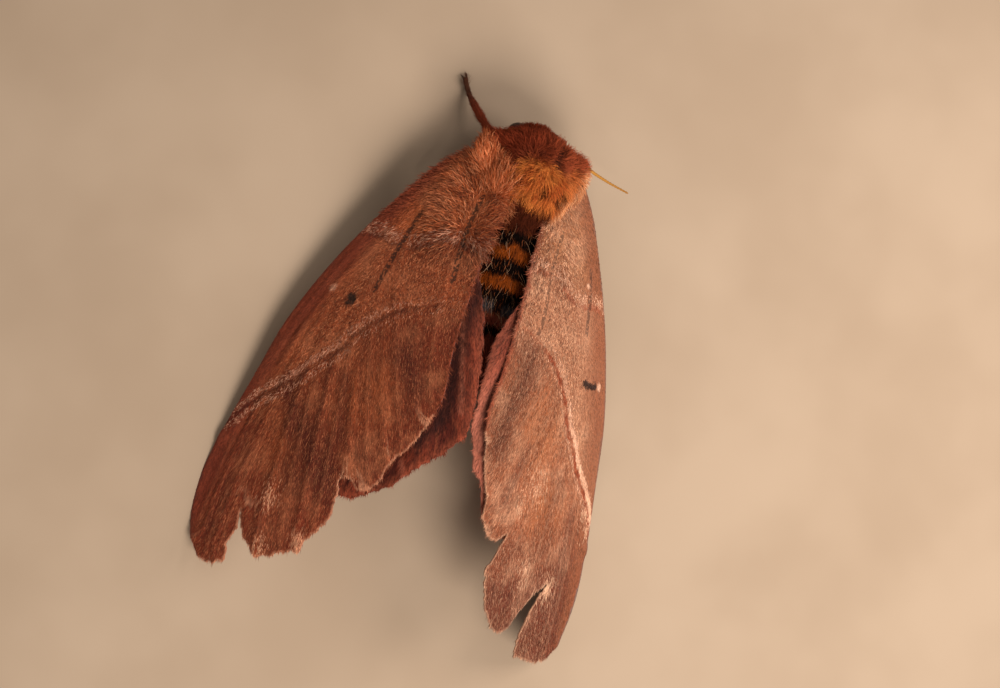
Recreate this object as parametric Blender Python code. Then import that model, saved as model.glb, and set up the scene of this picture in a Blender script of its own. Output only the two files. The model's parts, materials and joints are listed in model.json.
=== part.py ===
"""Female moth at rest with long, worn wings held as a low roof, life size.

The frame has +Y towards the head, +X to the moth's right and +Z up, with the floor at Z = 0.
Sizes are in millimetres, and each finished mesh is scaled to metres.
"""
import math
import random

import bmesh
import bpy
from mathutils import Matrix, Vector
from mathutils.geometry import delaunay_2d_cdt

# Overall sizes
METRES_PER_MM = 0.001
GAP = 0.3
SIDES = {"left": -1, "right": 1}

# Thorax, head and abdomen: the cores lie about half way between the skin and the tips of the hair
THORAX_CENTRE = Vector((0.0, -3.7, 7.5))
THORAX_HALF = Vector((4.2, 4.0, 4.1))
THORAX_FRONT = 0.0
THORAX_BACK = -7.2
HEAD_CENTRE = Vector((0.0, 1.5, 5.8))
HEAD_HALF = Vector((2.2, 1.3, 1.8))
HEAD_BACK = THORAX_FRONT + GAP
HEAD_SPACE = Vector((3.0, 2.7, 2.75))
EYE_CENTRE = Vector((1.75, 1.75, 5.6))
EYE_RADIUS = 1.25
ABDOMEN_FRONT = THORAX_BACK - GAP
ABDOMEN_LENGTH = 18.0
ABDOMEN_HALF_WIDTH = 3.9
ABDOMEN_HALF_HEIGHT = 3.75
ABDOMEN_START_Z = 6.5
ABDOMEN_DROOP = 1.7
ABDOMEN_SEGMENTS = 6
RINGS_PER_SEGMENT = 4
SEGMENT_GROOVE = 0.05

# Locks of hair, which part at a crown on the back and lie away from it
CROWN = Vector((0.0, -3.0, 12.0))
THORAX_LOCKS = 132
THORAX_LOCK_LENGTH = 3.0
THORAX_LOCK_WIDTH = 1.55
COLLAR_BACK = -1.8
COLLAR_STRETCH = 1.3
HEAD_LOCKS = 56
HEAD_LOCK_LENGTH = 1.3
HEAD_LOCK_WIDTH = 0.85
LOCK_THICKNESS = 0.6
LOCK_SINK = 0.8
LOCK_STEPS = 4
LOCK_RISE_DEGREES = 48.0
LOCK_TIP = 0.1
LOCK_SEED = 7
WING_ROOT_FRONT = -1.2
LOCK_OVER_WING = 1.0
FUSE_SOLVER = "MANIFOLD"

# Forewing placement: the wing's own coordinates are s, along the leading edge from the hinge,
# and t, across the wing towards its trailing edge
HINGE = Vector((4.2, -2.0, 7.15))
WING_LENGTH = 50.0
FOREWING_PLACE = {
    "left": dict(spread=20.0, dip=6.65, slope=40.5, curl=0.0135, bow=3.4, lift=0.5, twist=4.0),
    "right": dict(spread=14.8, dip=6.6, slope=40.5, curl=0.0140, bow=2.6, lift=0.4, twist=7.0),
}
PLATE_THICKNESS = 0.5
VEIN_HEIGHT = 0.22
VEIN_HALF_WIDTH = 0.45
VEIN_STEP = 2.4
GRID_STEP = 2.3

# Forewing outline in its own coordinates, both wings alike but for the wear of the outer margin
LEADING_EDGE = [(0.4, -2.6), (4.0, -3.5), (8.0, -3.8), (13.0, -4.1), (18.0, -4.2), (25.0, -4.1),
                (31.0, -3.7), (36.0, -3.7), (41.0, -3.8), (45.0, -3.1), (47.4, -1.9), (49.0, 0.1)]
INNER_MARGIN = [(23.9, 14.9), (21.8, 14.5), (19.3, 13.1), (16.3, 11.5), (13.0, 9.9), (9.8, 8.2),
                (6.5, 6.5), (3.6, 4.7), (0.4, 2.6)]
OUTER_MARGIN = {
    "left": [(48.6, 1.9), (47.6, 3.3), (46.1, 2.6), (44.4, 3.0), (42.5, 2.3), (44.5, 3.9), (45.4, 6.3),
             (44.2, 7.8), (42.9, 9.2), (42.4, 10.4), (41.4, 10.2), (40.3, 10.7), (38.3, 11.5),
             (36.5, 11.3), (35.2, 10.9), (34.0, 10.4), (33.5, 11.6), (34.2, 12.6), (33.4, 13.8),
             (32.0, 14.1), (29.8, 14.1), (27.3, 14.9)],
    "right": [(48.8, 2.6), (47.5, 6.6), (46.8, 7.0), (44.8, 6.4), (43.3, 5.7), (42.2, 4.7), (40.6, 2.8),
              (41.0, 4.8), (42.6, 6.8), (44.4, 8.8), (44.6, 10.0), (43.8, 11.4), (41.8, 12.8),
              (38.9, 13.2), (36.9, 13.4), (35.5, 12.7), (34.2, 10.9), (35.1, 12.9), (34.0, 14.1),
              (32.3, 14.8), (30.3, 14.5), (26.3, 15.0)],
}
FOREWING_VEINS = [
    [(2.5, -1.8), (10.0, -2.7), (20.0, -3.1), (30.0, -3.0), (37.0, -2.9)],
    [(2.5, -1.0), (8.0, -1.4), (15.0, -1.8), (20.0, -2.0), (30.0, -1.9), (39.0, -2.0), (46.0, -1.4)],
    [(24.0, -1.9), (33.0, -0.6), (41.0, 0.0), (48.2, 0.9)],
    [(20.4, -1.3), (28.0, -0.1), (35.0, 0.8), (42.0, 1.5), (46.6, 2.1)],
    [(20.4, 0.0), (27.0, 2.2), (34.0, 4.8), (40.0, 7.0), (43.6, 8.4)],
    [(18.6, 1.5), (25.0, 4.6), (31.0, 7.4), (36.5, 9.6), (40.0, 10.6)],
    [(16.8, 1.9), (22.0, 5.2), (27.0, 8.9), (31.2, 11.9), (32.8, 13.3)],
    [(12.5, 1.0), (17.0, 4.4), (22.0, 8.6), (26.0, 12.2), (28.2, 14.1)],
    [(2.5, 1.6), (7.9, 4.3), (14.5, 7.9), (19.5, 11.0), (22.8, 13.7)],
    [(2.5, -0.2), (8.2, -0.2), (12.5, 1.0), (16.8, 1.9), (18.6, 1.5), (20.4, 0.0), (20.4, -1.3),
     (20.0, -2.0)],
]

# Hindwings lie under the forewings and meet over the abdomen; their outlines are seen from above
HINDWING_RIDGE_Z = 12.2
HINDWING_RIDGE_X = -0.3
HINDWING_SIDE_SLOPE = 0.85
HINDWING_RIDGE_ROUND = 2.0
HINDWING_CLEARANCE = 1.4
HINDWING_BLEND = 0.35
HINDWING_OUTLINE = {
    "left": [(-5.6, -6.4), (-7.4, -10.0), (-10.2, -16.0), (-13.2, -22.5), (-14.9, -28.5), (-15.0, -32.3),
             (-13.9, -35.4), (-11.6, -37.8), (-9.2, -38.2), (-7.5, -37.2), (-5.8, -35.8), (-3.9, -33.5),
             (-2.0, -31.4), (-0.5, -29.2), (-0.5, -26.5), (-0.7, -23.5), (-1.2, -20.6), (-2.1, -16.9),
             (-3.1, -13.6), (-4.3, -9.4), (-4.9, -7.0)],
    "right": [(5.6, -6.4), (4.9, -7.0), (4.7, -9.4), (4.0, -12.4), (2.6, -14.6), (1.2, -16.6),
              (0.4, -18.8), (0.0, -21.5), (-0.1, -25.0), (-0.1, -28.3), (0.9, -30.2), (1.0, -32.0),
              (2.2, -33.4),
              (3.0, -34.9), (3.6, -36.6), (6.0, -38.0), (9.0, -38.2), (11.8, -36.6), (13.2, -33.5),
              (13.0, -29.0), (11.4, -22.5), (9.2, -16.0), (7.0, -10.0)],
}
HINDWING_HUB = (5.6, -7.4)
HINDWING_VEIN_ENDS = {
    "left": [(-14.2, -31.8), (-13.0, -35.0), (-10.8, -37.0), (-7.9, -36.6), (-4.8, -33.6), (-1.6, -29.4)],
    "right": [(12.4, -32.5), (11.2, -35.6), (8.8, -37.2), (6.2, -37.0), (3.6, -34.2), (1.0, -28.8)],
}

# Legs: each route runs from inside the thorax over the knee to the foot, with its half-thickness
LEG_ROUTES = {
    "foreleg_left": [(-1.7, -0.8, 6.0, 1.0), (-2.8, -0.2, 3.4, 0.95), (-4.1, 1.5, 2.7, 0.8),
                     (-5.4, 3.5, 1.4, 0.62), (-6.3, 4.7, 0.42, 0.5), (-7.3, 5.9, 0.32, 0.42)],
    "foreleg_right": [(1.7, -0.8, 6.0, 1.0), (2.7, -0.3, 3.2, 0.95), (3.6, 0.9, 2.3, 0.75),
                      (4.3, 1.4, 1.1, 0.6), (4.0, 2.0, 0.42, 0.5), (2.7, 2.1, 0.32, 0.42)],
    "midleg_left": [(-2.4, -3.6, 5.6, 1.0), (-3.9, -3.7, 3.0, 1.0), (-5.4, -4.6, 2.5, 0.8),
                    (-6.4, -6.2, 1.3, 0.62), (-7.0, -7.9, 0.42, 0.5), (-7.6, -10.2, 0.32, 0.42)],
    "midleg_right": [(2.4, -3.6, 5.6, 1.0), (3.9, -3.7, 3.0, 1.0), (5.3, -4.7, 2.5, 0.8),
                     (6.1, -6.4, 1.3, 0.62), (6.5, -8.2, 0.42, 0.5), (6.9, -10.5, 0.32, 0.42)],
    "hindleg_left": [(-2.2, -6.1, 5.4, 1.0), (-3.7, -7.0, 3.0, 1.0), (-5.0, -9.2, 2.2, 0.85),
                     (-5.9, -12.2, 1.3, 0.62), (-6.5, -14.8, 0.42, 0.5), (-7.2, -18.0, 0.32, 0.42)],
    "hindleg_right": [(2.2, -6.1, 5.4, 1.0), (3.7, -7.0, 3.0, 1.0), (4.9, -9.2, 2.2, 0.85),
                      (5.6, -12.2, 1.3, 0.62), (6.0, -14.8, 0.42, 0.5), (6.4, -18.0, 0.32, 0.42)],
}
LEG_SIDES = 8
LEG_STEPS = 4

# Antennae and palps, each route with its half-thickness
ANTENNA_ROUTES = {
    "antenna_left": [(-0.9, 1.5, 7.2, 0.36), (-2.4, 2.2, 7.75, 0.36), (-4.1, 1.6, 6.0, 0.35),
                     (-4.7, -0.2, 3.9, 0.32), (-6.2, -2.8, 2.9, 0.28), (-8.2, -6.2, 2.2, 0.2)],
    "antenna_right": [(0.9, 1.5, 7.2, 0.36), (2.3, 2.0, 7.7, 0.36), (4.2, 1.1, 7.1, 0.35),
                      (6.1, -0.1, 6.2, 0.32), (8.6, -0.6, 5.0, 0.28), (11.5, -0.95, 3.6, 0.2)],
}
ANTENNA_STEPS = 7
ANTENNA_SIDES = 6
ANTENNA_TOOTH = 0.35
PALP_ROUTES = {
    "palp_left": [(-0.6, 2.1, 4.7, 0.42), (-0.62, 2.8, 4.1, 0.42), (-0.6, 3.1, 3.4, 0.3)],
    "palp_right": [(0.6, 2.1, 4.7, 0.42), (0.62, 2.8, 4.1, 0.42), (0.6, 3.1, 3.4, 0.3)],
}

# Colours as linear red, green and blue, with roughness
FINISHES = {
    "head_hair": ((0.110, 0.018, 0.006), 0.9),
    "thorax_hair": ((0.330, 0.075, 0.016), 0.9),
    "abdomen_hair": ((0.060, 0.012, 0.004), 0.9),
    "wing_scales": ((0.300, 0.100, 0.045), 0.8),
    "hindwing_scales": ((0.190, 0.040, 0.016), 0.8),
    "leg_hair": ((0.120, 0.035, 0.015), 0.9),
    "antenna_horn": ((0.480, 0.250, 0.045), 0.6),
    "eye_glass": ((0.010, 0.006, 0.005), 0.2),
}


# Meshes and materials

def make_object(name, vertices, faces):
    """A closed mesh object in millimetres, with its faces pointing out."""
    mesh = bpy.data.meshes.new(name)
    mesh.from_pydata([tuple(v) for v in vertices], [], faces)
    work = bmesh.new()
    work.from_mesh(mesh)
    bmesh.ops.recalc_face_normals(work, faces=work.faces)
    work.to_mesh(mesh)
    work.free()
    obj = bpy.data.objects.new(name, mesh)
    bpy.context.scene.collection.objects.link(obj)
    return obj


def replace_mesh(obj, mesh):
    """Gives an object a new mesh under its own name and deletes the old one."""
    old = obj.data
    obj.modifiers.clear()
    obj.data = mesh
    bpy.data.meshes.remove(old)
    mesh.name = obj.name


def cut(obj, tool):
    """Takes a closed tool out of an object, then deletes the tool."""
    modifier = obj.modifiers.new("cut", "BOOLEAN")
    modifier.operation = "DIFFERENCE"
    modifier.object = tool
    depsgraph = bpy.context.evaluated_depsgraph_get()
    replace_mesh(obj, bpy.data.meshes.new_from_object(obj.evaluated_get(depsgraph)))
    bpy.data.objects.remove(tool)
    keep_largest(obj)


def fuse(obj, pieces):
    """Joins closed pieces to an object by one union, then deletes the pieces."""
    group = bpy.data.collections.new("pieces")
    bpy.context.scene.collection.children.link(group)
    for piece in pieces:
        bpy.context.scene.collection.objects.unlink(piece)
        group.objects.link(piece)
    modifier = obj.modifiers.new("fuse", "BOOLEAN")
    modifier.operation = "UNION"
    modifier.operand_type = "COLLECTION"
    modifier.collection = group
    modifier.solver = FUSE_SOLVER
    depsgraph = bpy.context.evaluated_depsgraph_get()
    replace_mesh(obj, bpy.data.meshes.new_from_object(obj.evaluated_get(depsgraph)))
    for piece in pieces:
        bpy.data.objects.remove(piece)
    bpy.data.collections.remove(group)
    keep_largest(obj)


def keep_largest(obj):
    """Keeps the closed surface with the most room in it and drops loose scraps."""
    work = bmesh.new()
    work.from_mesh(obj.data)
    bmesh.ops.remove_doubles(work, verts=work.verts, dist=1e-5)
    shells = []
    unseen = set(work.verts)
    while unseen:
        stack = [unseen.pop()]
        shell = set(stack)
        while stack:
            for edge in stack.pop().link_edges:
                for vertex in edge.verts:
                    if vertex in unseen:
                        unseen.discard(vertex)
                        shell.add(vertex)
                        stack.append(vertex)
        shells.append(shell)
    shells.sort(key=shell_size, reverse=True)
    bmesh.ops.delete(work, geom=[v for shell in shells[1:] for v in shell], context="VERTS")
    work.to_mesh(obj.data)
    work.free()


def shell_size(shell):
    """Diagonal of the box round a set of mesh vertices."""
    low = [min(v.co[k] for v in shell) for k in range(3)]
    high = [max(v.co[k] for v in shell) for k in range(3)]
    return math.dist(low, high)


def floor_block():
    """A block whose top is the floor, which gives what rests there a small flat."""
    size = 200.0
    vertices = [(x, y, z) for z in (-size, 0.0) for y in (-size, size) for x in (-size, size)]
    faces = [(0, 2, 3, 1), (4, 5, 7, 6), (0, 1, 5, 4), (2, 6, 7, 3), (0, 4, 6, 2), (1, 3, 7, 5)]
    return make_object("floor_block", vertices, faces)


def finish(obj, finish_name, smooth=True):
    """Scales a piece to metres, shades it and gives it its material."""
    obj.data.transform(Matrix.Scale(METRES_PER_MM, 4))
    colour, roughness = FINISHES[finish_name]
    material = bpy.data.materials.get(finish_name) or bpy.data.materials.new(finish_name)
    material.use_nodes = True
    shader = material.node_tree.nodes["Principled BSDF"]
    shader.inputs["Base Color"].default_value = (*colour, 1.0)
    shader.inputs["Roughness"].default_value = roughness
    shader.inputs["Metallic"].default_value = 0.0
    obj.data.materials.clear()
    obj.data.materials.append(material)
    if smooth:
        obj.data.shade_smooth()
        obj.data.set_sharp_from_angle(angle=math.radians(50.0))
    return obj


# Curves and turned bodies

def smooth_line(points, steps):
    """Points on a smooth curve through the given ones, steps to each span."""
    line = [Vector(p) for p in points]
    line = [line[0] * 2 - line[1]] + line + [line[-1] * 2 - line[-2]]
    result = []
    for k in range(1, len(line) - 2):
        a, b, c, d = line[k - 1:k + 3]
        for i in range(steps):
            u = i / steps
            result.append(0.5 * (2 * b + (c - a) * u + (2 * a - 5 * b + 4 * c - d) * u * u
                                 + (3 * b - a - 3 * c + d) * u ** 3))
    return result + [line[-2]]


def rings_to_object(name, rings):
    """A closed body through rings of points, with flat ends."""
    count = len(rings[0])
    vertices = [p for ring in rings for p in ring]
    faces = [tuple(range(count)), tuple(range(len(vertices) - 1, len(vertices) - count - 1, -1))]
    for k in range(len(rings) - 1):
        for i in range(count):
            j = (i + 1) % count
            a = k * count
            b = a + count
            faces.append((a + i, b + i, b + j))
            faces.append((a + i, b + j, a + j))
    return make_object(name, vertices, faces)


def ring(centre, half_width, half_height, sides):
    """An upright elliptic ring across the body's axis."""
    points = []
    for i in range(sides):
        angle = math.tau * (i + 0.5) / sides
        points.append(centre + Vector((half_width * math.sin(angle), 0.0, half_height * math.cos(angle))))
    return points


def ovoid(name, centre, half, front, back, grow=0.0, rings=11, sides=20):
    """An ellipsoid cut flat at its front and back, larger all round by the given amount."""
    size = half + Vector((grow, grow, grow))
    first = max(-0.99, (back - grow - centre.y) / size.y)
    last = min(0.99, (front + grow - centre.y) / size.y)
    start = math.asin(first)
    end = math.asin(last)
    sections = []
    for k in range(rings):
        angle = start + (end - start) * k / (rings - 1)
        place = centre + Vector((0.0, size.y * math.sin(angle), 0.0))
        sections.append(ring(place, size.x * math.cos(angle), size.z * math.cos(angle), sides))
    return rings_to_object(name, sections)


def tube(name, route, steps, sides=LEG_SIDES, tooth=0.0, tip=0.4, grow=0.0):
    """A tapering tube along a route of points with half-thicknesses, from its foot back to its root."""
    line = smooth_line([Vector(p) for p in route], steps)
    line.reverse()
    side = Vector((0.0, 0.0, 1.0)).cross(line[1].xyz - line[0].xyz).normalized()
    rings = []
    for k, place in enumerate(line):
        along = (line[min(k + 1, len(line) - 1)].xyz - line[max(k - 1, 0)].xyz).normalized()
        side = (side - along * side.dot(along)).normalized()
        up = along.cross(side)
        half = place.w * (tip if k == 0 else 1.0) * (1.0 + tooth * (k % 2)) + grow
        points = []
        for i in range(sides):
            angle = math.tau * (i + 0.5) / sides
            points.append(place.xyz + half * (side * math.sin(angle) - up * math.cos(angle)))
        rings.append(points)
    return rings_to_object(name, rings)


# Wing plates

def forewing_frame(side_name):
    """Directions of a forewing: along its leading edge, inwards across it, and up from both."""
    side = SIDES[side_name]
    place = FOREWING_PLACE[side_name]
    spread = math.radians(place["spread"])
    dip = math.radians(place["dip"])
    along = Vector((side * math.sin(spread) * math.cos(dip),
                    -math.cos(spread) * math.cos(dip),
                    -math.sin(dip)))
    inward = Vector((-side * math.cos(spread), -math.sin(spread), 0.0))
    up = along.cross(inward)
    if up.z < 0.0:
        up.negate()
    return along, inward, up


def forewing_point(side_name, s, t):
    """A point of the forewing's middle surface, which curls flatter towards its trailing edge."""
    place = FOREWING_PLACE[side_name]
    along, inward, up = forewing_frame(side_name)
    root = Vector((SIDES[side_name] * HINGE.x, HINGE.y, HINGE.z))
    curl = place["curl"]
    slope = math.radians(place["slope"] + place["twist"] * (s / WING_LENGTH - 0.5))
    across = (math.sin(slope) - math.sin(slope - curl * t)) / curl
    rise = (math.cos(slope - curl * t) - math.cos(slope)) / curl
    arch = math.sin(math.pi * max(s, 0.0) / WING_LENGTH)
    lift = Vector((0.0, 0.0, place["lift"] * arch))
    return root + s * along + (across - place["bow"] * arch) * inward + rise * up + lift


def forewing_height(side_name, x, y):
    """Height of the forewing's middle surface above a point of the floor."""
    step = 0.05
    s = (HINGE.y - y) / math.cos(math.radians(FOREWING_PLACE[side_name]["spread"]))
    t = 3.0
    for _ in range(12):
        here = forewing_point(side_name, s, t)
        ds = (forewing_point(side_name, s + step, t) - here) / step
        dt = (forewing_point(side_name, s, t + step) - here) / step
        det = ds.x * dt.y - ds.y * dt.x
        ex = x - here.x
        ey = y - here.y
        s += (ex * dt.y - ey * dt.x) / det
        t += (ds.x * ey - ds.y * ex) / det
    return forewing_point(side_name, s, t).z


def hindwing_point(side_name, x, y):
    """A point of the hindwing's middle surface: a low ridge over the abdomen, then under the forewing."""
    side = SIDES[side_name]
    out = side * (x - HINDWING_RIDGE_X)
    fall = math.sqrt(out * out + HINDWING_RIDGE_ROUND ** 2) - HINDWING_RIDGE_ROUND
    ridge = HINDWING_RIDGE_Z - HINDWING_SIDE_SLOPE * fall
    cover = forewing_height(side_name, x, y) - HINDWING_CLEARANCE
    low = min(ridge, cover)
    spare = abs(ridge - cover) / HINDWING_BLEND
    return Vector((x, y, low - HINDWING_BLEND * math.log(1.0 + math.exp(-min(spare, 40.0)))))


def surface_normal(point_at, u, v):
    """Upward normal of a surface given by a function of two coordinates."""
    step = 0.05
    du = point_at(u + step, v) - point_at(u - step, v)
    dv = point_at(u, v + step) - point_at(u, v - step)
    normal = du.cross(dv).normalized()
    return normal if normal.z > 0.0 else -normal


def nearest_on_line(point, line):
    """Distance from a flat point to a line of flat points."""
    best = 1e9
    for a, b in zip(line, line[1:]):
        ab = b - a
        share = max(0.0, min(1.0, (point - a).dot(ab) / max(ab.length_squared, 1e-12)))
        best = min(best, (point - a - ab * share).length)
    return best


def is_inside(point, outline):
    """Whether a flat point lies inside a closed outline."""
    inside = False
    for a, b in zip(outline, outline[1:] + outline[:1]):
        if (a.y > point.y) != (b.y > point.y):
            if point.x < a.x + (point.y - a.y) * (b.x - a.x) / (b.y - a.y):
                inside = not inside
    return inside


def even_line(points, step):
    """A smooth line through points, cut into equal lengths near the given step."""
    fine = smooth_line([(*p, 0.0) for p in points], 12)
    lengths = [0.0]
    for a, b in zip(fine, fine[1:]):
        lengths.append(lengths[-1] + (b - a).length)
    count = max(2, round(lengths[-1] / step))
    line = []
    i = 0
    for k in range(count + 1):
        goal = lengths[-1] * k / count
        while i < len(fine) - 2 and lengths[i + 1] < goal:
            i += 1
        share = (goal - lengths[i]) / max(lengths[i + 1] - lengths[i], 1e-9)
        line.append(fine[i].lerp(fine[i + 1], share).xy)
    return line


def shift_line(line, distance):
    """A flat line moved sideways by a distance."""
    moved = []
    for k, point in enumerate(line):
        along = (line[min(k + 1, len(line) - 1)] - line[max(k - 1, 0)]).normalized()
        moved.append(point + Vector((-along.y, along.x)) * distance)
    return moved


def wing_plate(name, outline, veins, point_at, grow=0.0):
    """A thin closed plate on a curved surface, with each vein raised as a ridge in its upper face."""
    border = [Vector(p) for p in outline]
    closed = border + border[:1]
    corners = list(border)
    edges = []
    centres = []
    for vein in veins:
        centre = even_line(vein, VEIN_STEP)
        centres.append(centre)
        for distance in (-VEIN_HALF_WIDTH, 0.0, VEIN_HALF_WIDTH):
            previous = None
            for point in shift_line(centre, distance):
                if is_inside(point, border) and nearest_on_line(point, closed) > VEIN_HALF_WIDTH:
                    corners.append(point)
                    if previous is not None:
                        edges.append((previous, len(corners) - 1))
                    previous = len(corners) - 1
                else:
                    previous = None
    low = Vector((min(p.x for p in border), min(p.y for p in border)))
    high = Vector((max(p.x for p in border), max(p.y for p in border)))
    row = 0
    v = low.y + GRID_STEP / 2
    while v < high.y:
        u = low.x + GRID_STEP * (0.5 + 0.5 * (row % 2))
        while u < high.x:
            point = Vector((u, v))
            clear = min([nearest_on_line(point, line) for line in centres + [closed]])
            if is_inside(point, border) and clear > GRID_STEP * 0.45:
                corners.append(point)
            u += GRID_STEP
        v += GRID_STEP * 0.87
        row += 1
    flat, _, faces = delaunay_2d_cdt(corners, edges, [list(range(len(border)))], 1, 0.02)[:3]
    upper = []
    lower = []
    for point in flat:
        normal = surface_normal(point_at, point.x, point.y)
        away = min([nearest_on_line(point, line) for line in centres] + [VEIN_HALF_WIDTH])
        ridge = VEIN_HEIGHT * (1.0 - away / VEIN_HALF_WIDTH)
        place = point_at(point.x, point.y)
        upper.append(place + normal * (PLATE_THICKNESS / 2 + ridge + grow))
        lower.append(place - normal * (PLATE_THICKNESS / 2 + grow))
    count = len(flat)
    skin = [tuple(f) for f in faces]
    skin += [tuple(count + i for i in reversed(f)) for f in faces]
    directed = {(f[i], f[(i + 1) % len(f)]) for f in faces for i in range(len(f))}
    for a, b in directed:
        if (b, a) not in directed:
            skin.append((b, a, count + a))
            skin.append((b, count + a, count + b))
    return make_object(name, upper + lower, skin)


# Parts of the moth

def above_wing(point):
    """Lowest place for hair over a point: just above a forewing's root, or anywhere before it."""
    if point.y > WING_ROOT_FRONT:
        return 0.0
    return forewing_height("left" if point.x < 0.0 else "right", point.x, point.y) + LOCK_OVER_WING


def anywhere(point):
    """Lowest place for hair that nothing lies under."""
    return 0.0


def lock(name, root, normal, lie, length, width, lowest_at):
    """A flat tapered lock of hair that leaves the skin and bends over along its lie."""
    side = normal.cross(lie).normalized()
    step = length / LOCK_STEPS
    place = root.copy()
    rings = []
    for k in range(-1, LOCK_STEPS + 1):
        share = max(k, 0) / LOCK_STEPS
        angle = math.radians(LOCK_RISE_DEGREES) * (1.0 - share) ** 1.3
        along = lie * math.cos(angle) + normal * math.sin(angle)
        flat = along.cross(side)
        taper = (1.0 - share) ** 0.85 * (0.75 + 0.75 * share) + LOCK_TIP * share
        if k < 0:
            centre = root - along * LOCK_SINK
        else:
            centre = place.copy()
            centre.z = max(centre.z, lowest_at(centre))
            place += along * step
        half_width = width / 2 * taper
        half_thickness = LOCK_THICKNESS / 2 * taper
        rings.append([centre + side * half_width, centre + flat * half_thickness,
                      centre - side * half_width, centre - flat * half_thickness])
    return rings_to_object(name, rings)


def locks_on(name, centre, half, count, lie_at, size_at, grows_at, lowest_at):
    """Locks spread evenly over an ellipsoid, wherever hair grows on it."""
    dice = random.Random(LOCK_SEED)
    turn = math.pi * (3.0 - math.sqrt(5.0))
    locks = []
    for k in range(count):
        z = 1.0 - 2.0 * (k + 0.5) / count
        ring_radius = math.sqrt(1.0 - z * z)
        away = Vector((ring_radius * math.sin(turn * k), ring_radius * math.cos(turn * k), z))
        root = centre + away * half
        normal = Vector((away.x / half.x, away.y / half.y, away.z / half.z)).normalized()
        vary = [dice.uniform(-1.0, 1.0) for _ in range(3)]
        if not grows_at(root, normal):
            continue
        lie = lie_at(root)
        lie = (lie - normal * lie.dot(normal)).normalized()
        lie = (lie + normal.cross(lie) * 0.25 * vary[0]).normalized()
        length, width = size_at(root)
        locks.append(lock(f"{name}_lock_{k}", root, normal, lie, length * (1.0 + 0.18 * vary[1]),
                          width * (1.0 + 0.15 * vary[2]), lowest_at))
    return locks


def thorax_grows_at(root, normal):
    """Long hair grows on the back and the front of the thorax, clear of the wings and the neck."""
    if root.y < THORAX_BACK + 0.5 or normal.z < -0.35:
        return False
    if root.y > WING_ROOT_FRONT:
        return root.z > THORAX_CENTRE.z
    side_name = "left" if root.x < 0.0 else "right"
    return root.z > forewing_height(side_name, root.x, root.y) + 0.6


def thorax_lock_size(root):
    """Length and width of a lock: the collar in front is longer."""
    stretch = COLLAR_STRETCH if root.y > COLLAR_BACK else 1.0
    return THORAX_LOCK_LENGTH * stretch, THORAX_LOCK_WIDTH


def head_lock_size(root):
    """Length and width of a lock of the head."""
    return HEAD_LOCK_LENGTH, HEAD_LOCK_WIDTH


def head_grows_at(root, normal):
    """Short hair grows on the brow, the face and the cheeks, clear of the eyes and feelers."""
    return normal.y > -0.2 and abs(root.x) < 1.2 and root.z > HEAD_CENTRE.z - 0.9


def wing_root_block(side_name):
    """The root of a forewing with the gap round it."""
    reach = GAP + VEIN_HEIGHT
    outline = [(-1.5, -4.6), (14.0, -5.0), (14.0, 11.6), (6.5, 7.6), (1.0, 4.6), (-1.5, 3.0)]
    return wing_plate("wing_block", outline, [], lambda s, t: forewing_point(side_name, s, t), reach)


def make_thorax():
    thorax = ovoid("thorax", THORAX_CENTRE, THORAX_HALF, THORAX_FRONT, THORAX_BACK)
    fuse(thorax, locks_on("thorax", THORAX_CENTRE, THORAX_HALF, THORAX_LOCKS, lambda root: root - CROWN,
                          thorax_lock_size, thorax_grows_at, above_wing))
    for side_name in SIDES:
        cut(thorax, wing_root_block(side_name))
        cut(thorax, eye_block(side_name))
        cut(thorax, antenna_block(side_name))
    cut(thorax, ovoid("head_space", HEAD_CENTRE, HEAD_SPACE, 99.0, HEAD_BACK - GAP))
    cut(thorax, abdomen_block())
    finish(thorax, "thorax_hair")


def eye_block(side_name):
    """An eye with the gap round it."""
    centre = Vector((SIDES[side_name] * EYE_CENTRE.x, EYE_CENTRE.y, EYE_CENTRE.z))
    size = EYE_RADIUS + GAP
    return ovoid("eye_block", centre, Vector((size, size, size)), 99.0, -99.0, 0.0, 11, 14)


def antenna_block(side_name):
    """An antenna with the gap round it."""
    return tube("antenna_block", ANTENNA_ROUTES[f"antenna_{side_name}"], ANTENNA_STEPS, ANTENNA_SIDES,
                ANTENNA_TOOTH, 1.0, GAP)


def thorax_block():
    """The thorax with the gap round it, for cutting what grows from it."""
    return ovoid("thorax_block", THORAX_CENTRE, THORAX_HALF, THORAX_FRONT, THORAX_BACK, GAP)


def head_block():
    """The head with the gap round it."""
    return ovoid("head_block", HEAD_CENTRE, HEAD_HALF, 99.0, HEAD_BACK, GAP)


def make_head():
    head = ovoid("head", HEAD_CENTRE, HEAD_HALF, 99.0, HEAD_BACK, 0.0, 9, 16)
    fuse(head, locks_on("head", HEAD_CENTRE, HEAD_HALF, HEAD_LOCKS,
                        lambda root: Vector((root.x * 0.5, 0.6, -1.0)),
                        head_lock_size, head_grows_at, anywhere))
    for side_name in SIDES:
        cut(head, eye_block(side_name))
        cut(head, antenna_block(side_name))
        cut(head, tube("palp_block", PALP_ROUTES[f"palp_{side_name}"], LEG_STEPS, LEG_SIDES, 0.0, 1.0, GAP))
    finish(head, "head_hair")


def make_eyes():
    for side_name, side in SIDES.items():
        centre = Vector((side * EYE_CENTRE.x, EYE_CENTRE.y, EYE_CENTRE.z))
        size = Vector((EYE_RADIUS, EYE_RADIUS, EYE_RADIUS))
        finish(ovoid(f"eye_{side_name}", centre, size, 99.0, -99.0, 0.0, 9, 14), "eye_glass")


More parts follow.
